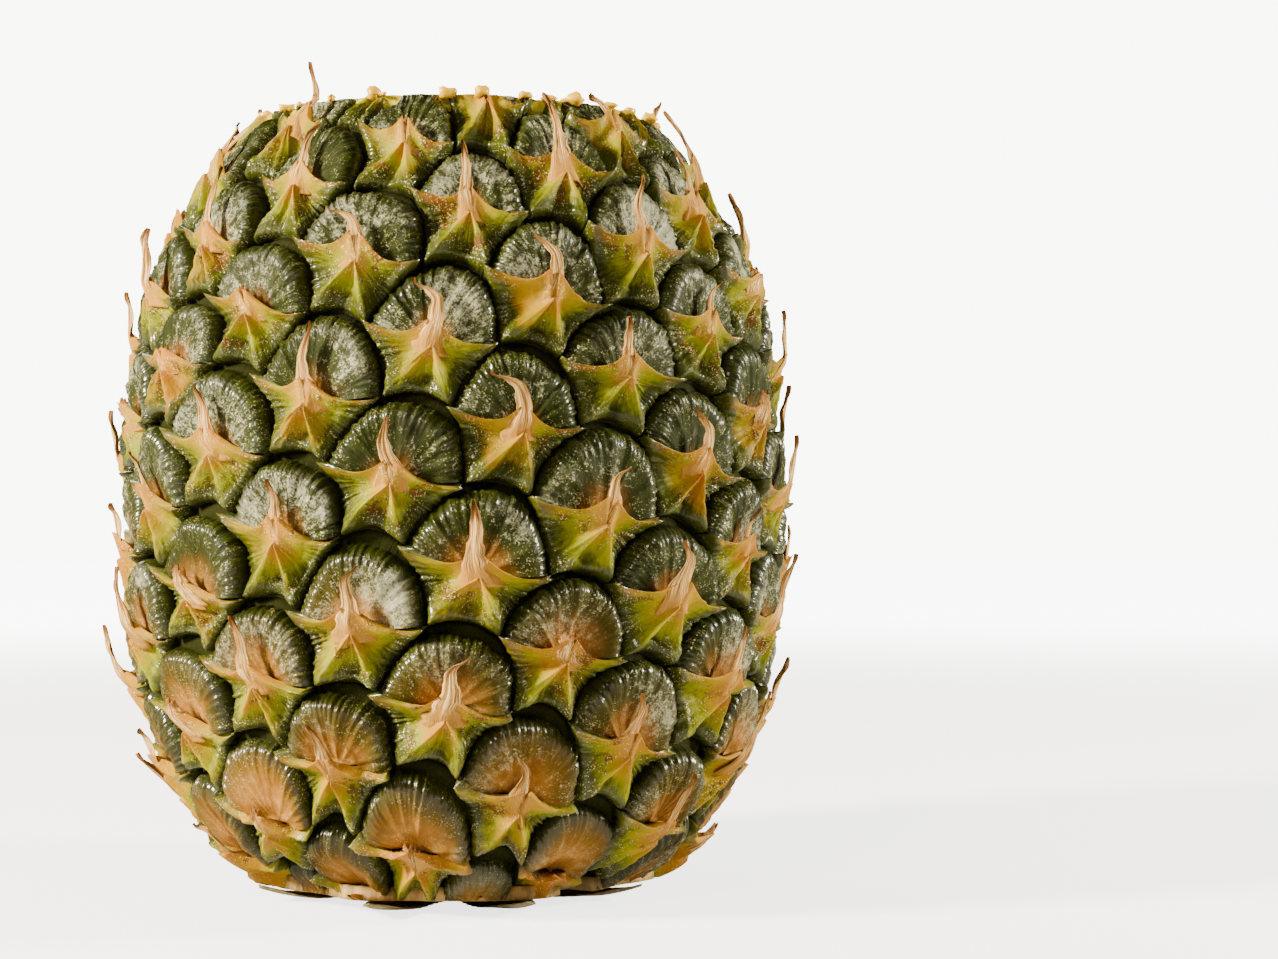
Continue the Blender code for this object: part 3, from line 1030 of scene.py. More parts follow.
    def wrap(self, graph: Graph, given: Any) -> bpy.types.NodeSocket:
        """Turn flat places into places on the fruit: across is turn, up is climb.

        Args:
            graph: the tree.
            given: the tree's inputs.
        Returns:
            The place on the fruit.
        """
        size = {name: Value(graph, given[name]) for name in self.SIZES}
        across, up, rise = graph.parts(graph.add("GeometryNodeInputPosition").outputs[0])
        turn = across / size["girth_radius"] + size["first_turn"]
        eye = up / size["flat_rise"]
        fall = 0.5 * size["rise_fall"] * eye * eye.at_least(0.0)
        height = size["first_height"] + size["rise_low"] * eye - fall
        radius = self.crest_radius(size, height)
        above = self.crest_radius(size, height + self.slope_step)
        below = self.crest_radius(size, height - self.slope_step)
        slope = (above - below) / (2.0 * self.slope_step)
        run = (slope * slope + 1.0) ** 0.5
        off = rise - size["groove_depth"]
        reach = radius + off / run
        level = height - off * slope / run
        place = graph.vector(reach * graph.math("COSINE", turn),
                             reach * graph.math("SINE", turn), level)
        noise = graph.add("ShaderNodeTexNoise", None,
                          {"Vector": place, "Scale": self.wander_scale, "Detail": 1.0})
        drift = graph.vector_math("SUBTRACT", noise.outputs[1], (0.5, 0.5, 0.5))
        drift = graph.vector_math("SCALE", drift, 2.0 * Value(graph, given["wander"]))
        return graph.vector_math("ADD", place, drift)

    def crest_radius(self, size: dict[str, Value], height: Value) -> Value:
        """Radius over the crests at a height; past either cut it stays as it is.

        Args:
            size: the fruit's sizes.
            height: the height.
        Returns:
            The radius.
        """
        level = height.at_most(size["cut_height"]).at_least(size["underside_height"])
        above = ((level - size["girth_height"]) / size["upper_reach"]).at_least(0.0)
        below = ((size["girth_height"] - level) / size["lower_reach"]).at_least(0.0)
        share = above ** size["upper_squareness"] + below ** size["lower_squareness"]
        return size["girth_radius"] * (1.0 - share) ** (1.0 / size["side_roundness"])

    def grow(self, templates: bpy.types.Collection, first_eye: int, eye_count: int,
             material: bpy.types.Material, seed: int,
             spread: tuple[float, float] = (0.0, 0.0)) -> bpy.types.Mesh:
        """Repeat the templates along one spiral row.

        Args:
            templates: the shapes to pick from.
            first_eye: number of the row's lowest eye.
            eye_count: how many eyes the row has.
            material: the finish of the whole row.
            seed: picks which template goes where.
            spread: how far each shape may be turned and resized at random.
        Returns:
            The row as one plain mesh in its place on the fruit.
        """
        carrier = link("row_carrier", bpy.data.meshes.new("row_carrier"))
        modifier = carrier.modifiers.new("eye_rows", "NODES")
        modifier.node_group = self.tree
        values: dict[str, Any] = {
            "templates": templates, "template_count": len(templates.objects),
            "first_eye": first_eye, "eye_count": eye_count, "row_step": self.row_step,
            "wander": self.wander, "seed": self.seed + seed, "material": material,
            "turn_spread": spread[0], "size_spread": spread[1]}
        values.update({size: float(getattr(self.rule, size)) for size in self.SIZES})
        for name, value in values.items():
            modifier[self.sockets[name]] = value
        bpy.context.view_layer.update()
        graph = bpy.context.evaluated_depsgraph_get()
        mesh = bpy.data.meshes.new_from_object(carrier.evaluated_get(graph))
        carrier.modifiers.clear()
        bpy.data.objects.remove(carrier)
        return mesh


def template_set(name: str, sheets: Iterable[Sheet]) -> bpy.types.Collection:
    """Put flat-laid shapes in a collection that Geometry Nodes pick from.

    Args:
        name: the collection's name, and the start of each shape's.
        sheets: the shapes.
    Returns:
        The collection.
    """
    templates = bpy.data.collections.new(name)
    for i, sheet in enumerate(sheets):
        shape = bpy.data.objects.new(f"{name}_{i:02d}", sheet.to_mesh(f"{name}_{i:02d}"))
        templates.objects.link(shape)
    return templates


def drop_templates(templates: bpy.types.Collection) -> None:
    """Remove the flat-laid shapes once every row is made.

    Args:
        templates: the collection that holds them.
    """
    for shape in list(templates.objects):
        bpy.data.objects.remove(shape)
    bpy.data.collections.remove(templates)


# --------------------------------------------------------------------- finishes
def new_material(name: str) -> tuple[bpy.types.Material, Graph, bpy.types.Node]:
    """Make a material.

    Args:
        name: its name.
    Returns:
        The material, its graph and its Principled node.
    """
    material = bpy.data.materials.new(name)
    material.use_nodes = True
    shader = material.node_tree.nodes["Principled BSDF"]
    return material, Graph(material.node_tree), shader


def attribute(graph: Graph, name: str) -> bpy.types.Node:
    """Read one of the mesh's own attributes."""
    return graph.add("ShaderNodeAttribute", {"attribute_type": "GEOMETRY",
                                             "attribute_name": name})


def dress(graph: Graph, shader: bpy.types.Node, values: dict[str, Any]) -> None:
    """Link or set the shader's own sockets by name."""
    for name, value in values.items():
        graph.feed(shader.inputs[name], value)


def relief_normal(graph: Graph, height: Value, depth: float, strength: float) -> Any:
    """Turn a height into the normal of a fine relief.

    Args:
        graph: the material's graph.
        height: the height, in parts of the depth.
        depth: how deep the relief is.
        strength: how much of it shows.
    Returns:
        The normal.
    """
    bump = graph.add("ShaderNodeBump", None, {"Strength": strength, "Distance": depth,
                                              "Height": height})
    return bump.outputs[0]


@dataclass(frozen=True)
class RindFinish:
    """Waxy rind: bloomed green caps, green and tan bracts, papery spines."""

    cap_dark: Colour = (0.0050, 0.0054, 0.0001)
    cap_green: Colour = (0.019, 0.026, 0.0001)
    cap_ripe: Colour = (0.12, 0.056, 0.0005)
    bloom: Colour = (0.42, 0.41, 0.28)
    pit: Colour = (0.12, 0.038, 0.002)
    pit_pale: Colour = (0.34, 0.155, 0.028)
    bract_green: Colour = (0.030, 0.035, 0.0002)
    bract_lime: Colour = (0.160, 0.165, 0.0003)
    bract_yellow: Colour = (0.32, 0.185, 0.0005)
    bract_orange: Colour = (0.25, 0.070, 0.0006)
    bract_tan: Colour = (0.31, 0.145, 0.022)
    # pale grain of the rind, also standing in for painted glints of its tiny bumps
    pale_grain_and_glint: Colour = (0.74, 0.64, 0.34)
    scab: Colour = (0.075, 0.020, 0.002)
    # painted shade: near-black dark green for the deep grooves between the eyes, darker than their
    # own green
    groove_green_and_shade: Colour = (0.009, 0.0095, 0.0002)
    spine_tan: Colour = (0.28, 0.130, 0.026)
    spine_pale: Colour = (0.70, 0.46, 0.19)
    spine_brown: Colour = (0.13, 0.040, 0.005)
    section: Colour = (0.38, 0.33, 0.02)

    def build(self, rule: FruitRule) -> bpy.types.Material:
        """Make the material.

        Args:
            rule: gives the level of the cut, where the rind's section shows.
        Returns:
            The material.
        """
        material, graph, shader = new_material("rind")
        spot = attribute(graph, "spot").outputs["Vector"]
        cap, edge, spine = graph.parts(attribute(graph, "zone").outputs["Vector"])
        rise = Value(graph, attribute(graph, "rise").outputs["Fac"])
        eye = Value(graph, attribute(graph, "eye").outputs["Fac"])
        x, y, rim = graph.parts(spot)
        place = graph.add("ShaderNodeTexCoord").outputs["Object"]
        left, _, level = graph.parts(place)
        tone = graph.add("ShaderNodeTexWhiteNoise", {"noise_dimensions": "1D"}, {"W": eye})
        tone_a, tone_b, tone_c = graph.parts(tone.outputs["Color"])
        distance = (x * x + y * y + 0.0004) ** 0.5
        ray = graph.vector(x / distance, y / distance, rim * 0.35 + eye * 3.7)
        ripe = level.between(0.112, 0.0) + (tone_a - 0.5) * 0.45 - left * 3.0
        grain = graph.noise(place, 3000.0, 1.0)
        speck = graph.noise(place, 620.0, 4.0, 0.7)
        patch = graph.noise(place, 170.0, 3.0)
        broad = graph.noise(place, 60.0, 2.0)
        streak = graph.noise(ray, 17.0, 2.0, 0.6)
        # pale dots: partly the rind's own pale grain, partly painted glints
        grain_and_glint_dots = (grain + speck * 0.5).between(0.84, 0.98) * patch.between(0.40, 0.62)
        cap_colour = self.cap(graph, rim, ripe, tone_b, streak, speck + grain * 0.5 - 0.25,
                              patch, broad)
        bract_colour = self.bract(graph, rim, edge, ripe, tone_c, streak, speck, patch, broad)
        colour = graph.mix(cap, bract_colour, cap_colour)
        # painted glints and pale grain: the pale dots go in, fewer on the caps
        colour = graph.mix(grain_and_glint_dots * (0.50 - cap * 0.25), colour, self.pale_grain_and_glint)
        # painted shade: the lowest parts of each eye, down in the grooves, are mixed towards the
        # near-black groove colour, over the grooves' own dark green
        sunk = rise.between(0.42, 0.16)
        colour = graph.mix(sunk * 0.90, colour, self.groove_green_and_shade)
        fibre = self.fibre(graph, x, y, eye)
        colour = graph.mix(spine, colour, self.spine(graph, y, fibre, speck))
        cut = level.between(rule.cut_height - 0.06 * MM, rule.cut_height - 0.02 * MM)
        colour = graph.mix(cut * (1.0 - spine), colour, self.section)
        rough = 0.28 + speck * 0.24 + (1.0 - cap) * 0.10 + spine * 0.30
        rough = rough + cap * rim.between(0.86, 0.62) * 0.30 + sunk * 0.5
        comb = graph.noise(ray, 36.0, 2.0, 0.6) * rim.between(0.55, 0.90)
        height = streak * rim.between(0.4, 0.8) * 0.30 + comb * 0.55
        height = height * (1.0 - spine) + grain * 0.28 + speck * 0.55 + fibre * spine * 1.1
        glossy = rim.between(0.66, 0.92) * (1.0 - spine) * (1.0 - sunk) * 0.42
        dress(graph, shader, {"Base Color": colour, "Roughness": rough.at_most(0.92),
                              "Normal": relief_normal(graph, height, 0.34 * MM, 0.9), "IOR": 1.42,
                              "Specular IOR Level": 0.10, "Coat Weight": glossy,
                              "Coat Roughness": 0.15})
        return material

    def cap(self, graph: Graph, rim: Value, ripe: Value, tone: Value, streak: Value,
            speck: Value, patch: Value, broad: Value) -> Any:
        """Colour the domed cap: dark green rim, pale bloom in rays, brown pit.

        Args:
            graph: the material's graph.
            rim: share of the way out to the rim.
            ripe: how ripe the fruit is here.
            tone: a draw for each eye.
            streak: noise along rays from the spine root.
            speck: fine noise.
            patch: noise a few millimetres wide.
            broad: noise as wide as an eye.
        Returns:
            The colour.
        """
        green = graph.mix((streak + patch - 0.55) * 1.1, self.cap_dark, self.cap_green)
        green = graph.mix((ripe - 0.40) * (0.6 + tone) * rim.between(1.0, 0.66), green,
                          self.cap_ripe)
        ring = rim.between(0.12, 0.40) * rim.between(0.96, 0.62)
        dust = (streak * 0.5 + speck * 1.6 + broad * 1.6 + tone * 0.3 - 1.98) * 1.9
        dusty = ring * dust.between(0.0, 1.0) * (0.56 - ripe.between(0.3, 1.2) * 0.38)
        haze = ring * (broad + streak * 0.4 - 0.55).between(0.0, 0.6) * 0.07
        green = graph.mix(dusty + haze, green, self.bloom)
        centre = (rim - (ripe - 0.2) * 0.34 + (patch - 0.5) * 0.5).between(0.50, 0.10)
        brown = graph.mix((patch * 1.7 + speck * 0.9 + ripe * 0.5 - 1.15), self.pit, self.pit_pale)
        return graph.mix(centre * (0.55 + patch * 0.6), green, brown)

    def bract(self, graph: Graph, rim: Value, edge: Value, ripe: Value, tone: Value,
              streak: Value, speck: Value, patch: Value, broad: Value) -> Any:
        """Colour the winged bract: tan by the spine, yellow and orange, green at its edges.

        Args:
            graph: the material's graph.
            rim: share of the way out to the rim.
            edge: nearness to the free upper edge.
            ripe: how ripe the fruit is here.
            tone: a draw for each eye.
            streak: noise along rays from the spine root.
            speck: fine noise.
            patch: noise a few millimetres wide.
            broad: noise as wide as an eye.
        Returns:
            The colour.
        """
        reach = rim + (patch - 0.5) * 0.65 + (streak - 0.5) * 0.60 - (ripe - 0.3) * 0.22
        reach = reach - edge * 0.08 + 0.08
        colour = graph.mix(reach.between(0.92, 0.48), self.bract_green, self.bract_lime)
        colour = graph.mix(reach.between(0.58, 0.20), colour, self.bract_yellow)
        warm = reach.between(0.50, 0.05) * 0.5 + (tone - 0.52) * 0.7 + (broad - 0.5) * 2.6
        colour = graph.mix(warm * reach.between(0.95, 0.60) * 0.9, colour, self.bract_orange)
        pale = (rim + (speck - 0.5) * 0.6 + (streak - 0.5) * 0.6 + tone * 0.10).between(0.33, 0.08)
        colour = graph.mix(pale * (0.95 - speck.between(0.50, 0.66) * 0.55), colour,
                           self.bract_tan)
        margin = edge.between(0.55, 0.98) * rim.between(1.0, 0.70)
        colour = graph.mix(margin * (patch * 1.3 - 0.35), colour, self.bract_orange)
        scab = (patch * 1.5 + speck * 0.9 - 1.31) * 8.0 * rim.between(0.18, 0.34)
        return graph.mix(scab.between(0.0, 1.0) * rim.between(0.88, 0.55) * 0.8,
                         colour, self.scab)

    def fibre(self, graph: Graph, x: Value, y: Value, eye: Value) -> Value:
        """Fibres that run the length of a spine."""
        return graph.noise(graph.vector(x * 9.0, y * 0.9, eye * 5.1), 2.6, 3.0, 0.6)

    def spine(self, graph: Graph, along: Value, fibre: Value, speck: Value) -> Any:
        """Colour the dry spine: tan with pale fibres, a brown tip and the bract's tan at its foot.

        Args:
            graph: the material's graph.
            along: share of the way from foot to tip.
            fibre: noise that runs along the spine.
            speck: fine noise.
        Returns:
            The colour.
        """
        colour = graph.mix(fibre.between(0.44, 0.64), self.spine_tan, self.spine_pale)
        colour = graph.mix(fibre.between(0.47, 0.33) * 0.9, colour, self.spine_brown)
        tip = along.between(0.62, 1.0) * (0.35 + speck)
        colour = graph.mix(tip, colour, self.spine_brown)
        foot = (along + (speck - 0.5) * 0.2).between(0.34, 0.14)
        return graph.mix(foot * 0.9, colour, self.bract_tan)


# --------------------------------------------------------------------- the rind
@dataclass
class Rind:
    """The fused rind: eight spiral rows of fruitlets with their spines."""

    rule: FruitRule
    finish: RindFinish = RindFinish()
    row_count: int = 8
    fruitlet_variants: int = 6
    spare_below: float = 14.0 * MM
    spare_above: float = 16.0 * MM
    spine_margin: float = 3.0 * MM
    spine_spread: tuple[float, float] = (math.radians(9.0), 0.13)
    section_points: Places = field(default_factory=list)
    floor_points: Places = field(default_factory=list)

    def build(self) -> list[bpy.types.Object]:
        """Make the rows, cut them flat above and below and dress them.

        Returns:
            The rows, one piece each.
        """
        cell = Cell(self.rule)
        layout = EyeLayout(self.rule, row_step=self.row_count)
        material = self.finish.build(self.rule)
        bodies = template_set("fruitlet", (Fruitlet(cell, i).build()
                                           for i in range(self.fruitlet_variants)))
        forms = [SpineForm.STRAIGHT, SpineForm.LEANING, SpineForm.HOOKED_LEFT,
                 SpineForm.TALL, SpineForm.STRAIGHT, SpineForm.HOOKED_RIGHT,
                 SpineForm.PRESSED, SpineForm.BROKEN]
        spines = template_set("spine", (Spine(form, i).build() for i, form in enumerate(forms)))
        rows = [self.row(i, layout, bodies, spines, material) for i in range(self.row_count)]
        drop_templates(bodies)
        drop_templates(spines)
        return rows

    def row(self, number: int, layout: EyeLayout, bodies: bpy.types.Collection,
            spines: bpy.types.Collection, material: bpy.types.Material) -> bpy.types.Object:
        """Make one spiral row as one piece.

        Args:
            number: the row's number, from 0.
            layout: repeats shapes along the row.
            bodies: fruitlets to pick from.
            spines: spines to pick from.
            material: the row's finish.
        Returns:
            The piece.
        """
        rule, step = self.rule, self.row_count
        lowest = rule.first_eye_above(rule.underside_height - self.spare_below) + number
        highest = rule.first_eye_above(rule.cut_height + self.spare_above)
        count = len(range(lowest, highest, step))
        rooted = [eye for eye in range(lowest, highest, step)
                  if rule.underside_height + self.spine_margin < rule.eye_height(eye)
                  < rule.cut_height - self.spine_margin]
        mesh = bmesh.new()
        pour(mesh, layout.grow(bodies, lowest, count, material, 0))
        tiles = layout.tile_columns, layout.tile_rows
        self.section_points += cut_flat(mesh, rule.cut_height, 1.0, tiles)
        self.floor_points += cut_flat(mesh, rule.underside_height, -1.0, tiles)
        pour(mesh, layout.grow(spines, rooted[0], len(rooted), material, 5, self.spine_spread))
        return settle(mesh, f"spiral_row_{number + 1}", material)


def cut_flat(mesh: bmesh.types.BMesh, height: float, facing: float,
             tiles: tuple[int, int]) -> Places:
    """Cut closed bodies off at a level and close each cut with a flat face.

    Args:
        mesh: the bodies.
        height: level of the cut.
        facing: 1 to drop what is above, -1 to drop what is below.
        tiles: columns and rows of the bake map.
    Returns:
        The places along the cuts, seen from above.
    """
    beyond = dict.fromkeys(face for vert in mesh.verts if facing * (vert.co.z - height) > 0.0
                           for face in vert.link_faces)
    edges = dict.fromkeys(edge for face in beyond for edge in face.edges)
    verts = dict.fromkeys(vert for face in beyond for vert in face.verts)
    bmesh.ops.bisect_plane(mesh, geom=[*verts, *edges, *beyond], dist=1e-7,
                           plane_co=(0.0, 0.0, height), plane_no=(0.0, 0.0, facing),
                           clear_outer=True)
    rim = [edge for edge in mesh.edges if edge.is_boundary]
    filled = bmesh.ops.holes_fill(mesh, edges=rim, sides=len(rim))["faces"]
    layer = mesh.loops.layers.uv[BAKE_MAP]
    tile_of = mesh.verts.layers.float["tile"]
    for face in filled:
        row, column = divmod(round(face.verts[0][tile_of]), tiles[0])
        xs, ys = [v.co.x for v in face.verts], [v.co.y for v in face.verts]
        wide, deep = max(max(xs) - min(xs), MM), max(max(ys) - min(ys), MM)
        for loop in face.loops:
            u = SECTION_CORNER[0] + SECTION_PATCH * (loop.vert.co.x - min(xs)) / wide
            v = SECTION_CORNER[1] + SECTION_PATCH * (loop.vert.co.y - min(ys)) / deep
            loop[layer].uv = ((column + u) / tiles[0], (row + v) / tiles[1])
    return [(vert.co.x, vert.co.y) for edge in rim if edge.is_valid for vert in edge.verts]


# --------------------------------------------------------------------- cut faces
def rim_reach(places: Places, steps: int) -> np.ndarray:
    """Farthest reach from the axis in each direction, evened out a little.

    Args:
        places: the places, seen from above.
        steps: how many directions.
    Returns:
        The reach in each direction.
    """
    across = np.array(places)
    reach = np.hypot(across[:, 0], across[:, 1])
    sector = (np.arctan2(across[:, 1], across[:, 0]) % TAU / TAU * steps).astype(int) % steps
    best = np.zeros(steps)
    np.maximum.at(best, sector, reach)
    for spread in (2, 2):
        best = np.max([np.roll(best, turn) for turn in range(-spread, spread + 1)], axis=0)
    return np.mean([np.roll(best, turn) for turn in range(-3, 4)], axis=0)


def blurred(random: np.random.Generator, shape: tuple[int, int], along: int,
            around: int) -> np.ndarray:
    """Draw a field of random numbers and blur it, so that it goes to 1 or -1 at most.

    Args:
        random: source of the numbers.
        shape: the field's size, first along and then around.
        along: how many neighbours either side count along the first axis.
        around: the same round the second axis, which wraps.
    Returns:
        The field.
    """
    rough = random.standard_normal(shape)
    kernel = np.ones(2 * along + 1) / (2 * along + 1)
    lined = np.apply_along_axis(lambda line: np.convolve(line, kernel, "same"), 0, rough)
    turned = np.mean([np.roll(lined, turn, axis=1) for turn in range(-around, around + 1)],
                     axis=0)
    return turned / max(float(np.abs(turned).max()), 1e-9)


@dataclass(frozen=True)
class FleshFinish:
    """Wet yellow flesh with radial fibres and a paler core."""

    yellow: Colour = (0.50, 0.265, 0.001)
    pale: Colour = (0.60, 0.38, 0.010)
    deep: Colour = (0.40, 0.165, 0.0006)
    core: Colour = (0.60, 0.42, 0.040)
    edge: Colour = (0.30, 0.28, 0.010)

    def build(self) -> bpy.types.Material:
        """Make the material.

        Returns:
            The material.
        """
        material, graph, shader = new_material("flesh")
        x, y, out = graph.parts(attribute(graph, "spot").outputs["Vector"])
        pocket, _, _ = graph.parts(attribute(graph, "zone").outputs["Vector"])
        place = graph.add("ShaderNodeTexCoord").outputs["Object"]
        rays = graph.vector(x * 9.0, y * 9.0, out * 1.4)
        fibre = graph.noise(rays, 3.0, 4.0, 0.65)
        pulp = graph.noise(place, 420.0, 3.0)
        blotch = graph.noise(place, 75.0, 2.0)
        colour = graph.mix((fibre * 1.7 + pulp * 0.4 - 0.62), self.yellow, self.pale)
        colour = graph.mix((blotch * 1.6 - 0.6) * out.between(0.25, 0.7), colour, self.deep)
        colour = graph.mix(out.between(0.33, 0.25) * 0.85, colour, self.core)
        colour = graph.mix(pocket * 0.7, colour, self.deep)
        colour = graph.mix(out.between(0.955, 1.0) * 0.8, colour, self.edge)
        height = fibre * 0.8 + pulp * 0.45
        dress(graph, shader, {"Base Color": colour, "Roughness": 0.20 + pulp * 0.22,
                              "Normal": relief_normal(graph, height, 0.35 * MM, 0.8), "IOR": 1.38,
                              "Specular IOR Level": 0.25, "Coat Weight": 0.22,
                              "Coat Roughness": 0.12})
        return material


@dataclass
class CutFace:
    """Flat face where the crown was sliced off, with loose crumbs of flesh at its rim."""

    rule: FruitRule
    places: Places
    finish: FleshFinish = FleshFinish()
    steps: int = 360
    rings: int = 72
    rind_width: float = 1.5 * MM
    ragged: float = 0.35 * MM
    proud: float = 0.45 * MM
    depth: float = 3.0 * MM
    fibre_depth: float = 0.22 * MM
    core_rise: float = 0.25 * MM
    rim_fall: float = 0.75 * MM
    pocket_count: int = 27
    pocket_depth: float = 0.7 * MM
    crumb_count: int = 30
    seed: int = 42

    def build(self) -> bpy.types.Object:
        """Make the face and its crumbs as one piece.

        Returns:
            The piece.
        """
        random = np.random.default_rng(self.seed)
        mesh = bmesh.new()
        pour(mesh, self.disc(random).to_mesh("cut_disc"))
        self.crumbs(mesh, random)
        piece = settle(mesh, "cut_face", self.finish.build())
        piece.data.shade_smooth()
        return piece

    def disc(self, random: np.random.Generator) -> Sheet:
        """Make the face itself, closed below.

        Args:
            random: source of its unevenness.
        Returns:
            The closed disc.
        """
        turn = np.arange(self.steps) / self.steps * TAU
        around = np.stack([np.cos(turn), np.sin(turn)], axis=-1)
        rim = rim_reach(self.places, self.steps) - self.rind_width
        rim = rim + self.ragged * blurred(random, (1, self.steps), 0, 1)[0]
        share = np.linspace(0.0, 1.0, self.rings + 1)[1:] ** 0.85
        uneven, pockets = self.unevenness(turn, share, random)
        top, bottom = self.rule.cut_height + self.proud, self.rule.cut_height - self.depth
        reach = np.append(share, 1.0)[:, None] * rim
        level = np.concatenate([top + uneven, np.full((1, self.steps), bottom)])
        points = np.concatenate([reach[:, :, None] * around, level[:, :, None]], axis=-1)
        points = np.concatenate([points.reshape(-1, 3), [[0.0, 0.0, top], [0.0, 0.0, bottom]]])
        faces, front = domed_faces(self.rings + 1, self.steps)
        flat = 0.5 + 0.47 * (np.append(share, 1.02)[:, None, None] * around)
        flat = np.concatenate([flat.reshape(-1, 2), [[0.5, 0.5], [0.5, 0.5]]])
        tiny = np.array([0.06, 0.06]) + 0.09 * (flat - 0.5)
        out = np.append(share, 1.0).repeat(self.steps)[:, None]
        spot = np.concatenate([np.tile(around, (self.rings + 1, 1)), out], axis=1)
        spot = np.concatenate([spot, [[0.0, 0.0, 0.0], [0.0, 0.0, 1.0]]])
        zone = np.zeros((len(points), 3))
        zone[:pockets.size, 0] = np.clip(pockets.ravel(), 0.0, 1.0)
        LOG.info("cut face reaches %.1f mm", float(rim.max()) / MM)
        return Sheet(points, faces, corner_places(faces, front, flat, tiny),
                     {"spot": spot, "zone": zone})

    def unevenness(self, turn: np.ndarray, share: np.ndarray,
                   random: np.random.Generator) -> tuple[np.ndarray, np.ndarray]:
        """Raise fibres and the core's ring, and sink the pockets under the eyes.

        Args:
            turn: the directions.
            share: shares of the way out.
            random: source of the unevenness.
        Returns:
            The height over the face's level, and how much of each place is a pocket.
        """
        grid = np.repeat(share[:, None], self.steps, axis=1)
        fibres = blurred(random, grid.shape, 9, 1)
        pulp = blurred(random, grid.shape, 1, 2)
        pockets = np.zeros(grid.shape)
        for number in range(self.pocket_count):
            middle = TAU * (number + random.uniform(-0.3, 0.3)) / self.pocket_count
            off = (turn - middle + math.pi) % TAU - math.pi
            out = random.uniform(0.80, 0.88)
            pockets += hump(off[None, :], 0.0, 0.028) * hump(grid, out, 0.075)
        height = self.fibre_depth * (fibres + 0.7 * pulp) * smooth(0.0, 0.15, grid)
        height = height - self.pocket_depth * pockets + self.core_rise * hump(grid, 0.30, 0.02)
        return height - self.rim_fall * smooth(0.955, 1.0, grid), pockets

    def crumbs(self, mesh: bmesh.types.BMesh, random: np.random.Generator) -> None:
        """Add small torn lumps along the rim.

        Args:
            mesh: gets the lumps.
            random: source of their places and shapes.
        """
        rim = rim_reach(self.places, self.steps)
        uv, spot = mesh.loops.layers.uv[BAKE_MAP], mesh.verts.layers.float_vector["spot"]
        for number in range(self.crumb_count):
            turn = TAU * (number + random.uniform(-0.45, 0.45)) / self.crumb_count
            reach = rim[int(turn % TAU / TAU * self.steps) % self.steps]
            reach -= random.uniform(0.2, 1.6) * MM
            size = random.uniform(0.5, 1.5) * MM
            middle = Vector((reach * math.cos(turn), reach * math.sin(turn),
                             self.rule.cut_height + 0.35 * size))
            made = bmesh.ops.create_icosphere(mesh, subdivisions=2, radius=size)["verts"]
            stretch = Vector((random.uniform(0.8, 1.7), random.uniform(0.8, 1.7),
                              random.uniform(0.5, 1.1)))
            phase = random.uniform(0.0, TAU, 3)
            for vert in made:
                way = vert.co / size
                knob = 1.0 + sum(tall * math.sin(wave * part + start) for tall, wave, part, start
                                 in zip((0.22, 0.18, 0.16), (4.0, 5.0, 6.0), way, phase))
                vert.co = middle + Vector([c * s for c, s in zip(vert.co, stretch)]) * knob
                vert[spot] = (math.cos(turn), math.sin(turn), 0.6)
            row, column = divmod(number, 10)
            for face in dict.fromkeys(face for vert in made for face in vert.link_faces):
                for loop in face.loops:
                    way = loop.vert.co - middle
                    loop[uv].uv = (0.945 + 0.005 * column + 0.8 * way.x,
                                   0.945 + 0.015 * row + 0.8 * way.y)


@dataclass(frozen=True)
class PlainFinish:
    """Dry matter in two browns with a darker third, streaked along one of its directions."""

    name: str
    main: Colour
    pale: Colour
    dark: Colour
    roughness: float
    streaks: tuple[float, float, float]

    def build(self) -> bpy.types.Material:
        """Make the material.

        Returns:
            The material.
        """
        material, graph, shader = new_material(self.name)
        place = graph.add("ShaderNodeTexCoord").outputs["Object"]
        run = graph.parts(attribute(graph, "spot").outputs["Vector"])
        lined = graph.vector(*(part * size for part, size in zip(run, self.streaks)))
        fibre = graph.noise(lined, 3.0, 4.0, 0.65)
        patch = graph.noise(place, 130.0, 3.0)
        fine = graph.noise(place, 1300.0, 2.0)
        colour = graph.mix(fibre.between(0.40, 0.66), self.main, self.pale)
        colour = graph.mix(patch.between(0.48, 0.72) * 0.8, colour, self.dark)
        dress(graph, shader, {"Base Color": colour,
                              "Roughness": self.roughness + (fine - 0.5) * 0.2,
                              "Normal": relief_normal(graph, fibre + fine * 0.4, 0.25 * MM, 0.8)})
        return material


